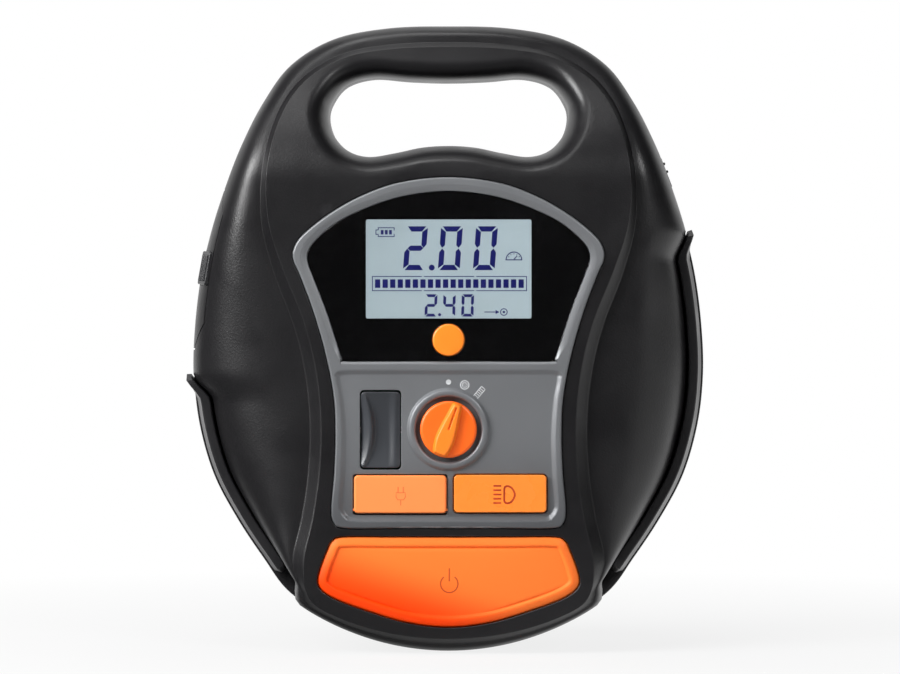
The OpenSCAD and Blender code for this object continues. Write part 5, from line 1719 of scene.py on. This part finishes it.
# ---------------------------------------------------------------- electronics
# The main board of green fibreglass with its switches and its pressure sensor of black epoxy, the
# four round cells in their holder, and the lamp's board and bright reflector. They keep their CAD
# shapes and get their own finish.


def dressed(material, *names):
    """Gives nodes that keep their shape their own finish."""
    for name in names:
        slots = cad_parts[name].data.materials
        slots.clear()
        slots.append(material)


def circuit_board(name, mask, copper):
    """Solder mask over tracks: paler where copper runs beneath it."""
    material, new, link, sockets = finish(name)
    upright = new("ShaderNodeMapping")
    upright.inputs["Rotation"].default_value = (math.radians(90), 0, 0)
    link(new("ShaderNodeTexCoord").outputs["Object"], upright.inputs["Vector"])
    tracks = new("ShaderNodeTexBrick")
    link(upright.outputs[0], tracks.inputs["Vector"])
    for label, value in (("Scale", 160.0), ("Mortar Size", 0.045), ("Brick Width", 0.7), ("Row Height", 0.2)):
        tracks.inputs[label].default_value = value
    mottle = use_group(new, grain, Scale=900.0)["Mottle"]
    shade = blended(new, link, tracks.outputs["Fac"], mask, copper)
    patches = ranged(new, link, mottle, 0.3, 0.7, 0.0, 0.4)
    link(blended(new, link, patches, shade, scaled(mask, 0.7)), sockets["Base Color"])
    link(ranged(new, link, mottle, 0.3, 0.7, 0.26, 0.36), sockets["Roughness"])
    relieved(new, link, sockets, tracks.outputs["Fac"], 0.00003)
    return material


dressed(circuit_board("board_green", (0.012, 0.105, 0.04), (0.03, 0.19, 0.07)), "main_board")
dressed(circuit_board("lamp_board_white", (0.62, 0.63, 0.6), (0.7, 0.7, 0.68)), "led_board")
dressed(plastic("epoxy_black", (0.02, 0.02, 0.022), rough=0.45, grain_scale=1100.0), "tact_switches",
        "pressure_sensor")
dressed(plastic("cell_sleeve_blue", (0.02, 0.09, 0.36), rough=0.28, grain_depth=0.000004, uneven=0.08),
        "battery_cells")
dressed(plastic("holder_nylon", (0.03, 0.03, 0.032), rough=0.5, uneven=0.15), "battery_holder",
        "adaptor_tray", "charge_socket")
dressed(plastic("diffuser_white", (0.78, 0.78, 0.75), rough=0.55, uneven=0.04), "lcd_backlight")
dressed(plastic("switch_blue", (0.03, 0.06, 0.16), rough=0.4), "mode_switch")
dressed(metal("nickel_plate", (0.62, 0.6, 0.57), rough=0.24), "usb_socket", "door_pin", "rocker_pin",
        "board_screws")
dressed(metal("reflector_bright", (0.86, 0.86, 0.87), rough=0.09, brush=0.03, scale=(40, 40, 40),
              tarnish=0.05), "lamp_reflector")


# ---------------------------------------------------------------- compressor
# A motor in a drawn steel can drives a brass pinion and a sintered crank gear. The piston of
# glass-filled nylon runs in an anodised cylinder under a die-cast head. CAD shapes, too.

dressed(metal("motor_steel", (0.5, 0.5, 0.5), rough=0.3, scale=(30, 600, 30)), "motor_can")
dressed(metal("pinion_brass", (0.78, 0.56, 0.24), rough=0.26, scale=(80, 80, 80)), "motor_pinion")
dressed(metal("gear_sintered", (0.36, 0.35, 0.34), rough=0.48, brush=0.1, scale=(160, 160, 160)),
        "crank_gear", "crank_bearing")
dressed(metal("plate_steel", (0.52, 0.53, 0.54), rough=0.36, scale=(20, 20, 500)), "gear_plate")
dressed(metal("cast_alloy", (0.6, 0.6, 0.61), rough=0.46, brush=0.1, scale=(140, 140, 140)), "air_cylinder",
        "cylinder_head")
dressed(plastic("rod_nylon", (0.05, 0.05, 0.055), rough=0.5, grain_scale=700.0, uneven=0.2), "piston_rod")
dressed(plastic("seal_white", (0.7, 0.7, 0.67), rough=0.4, uneven=0.05), "piston_seal")
dressed(clear("air_line_clear", (0.86, 0.9, 0.93), rough=0.09), "air_line")
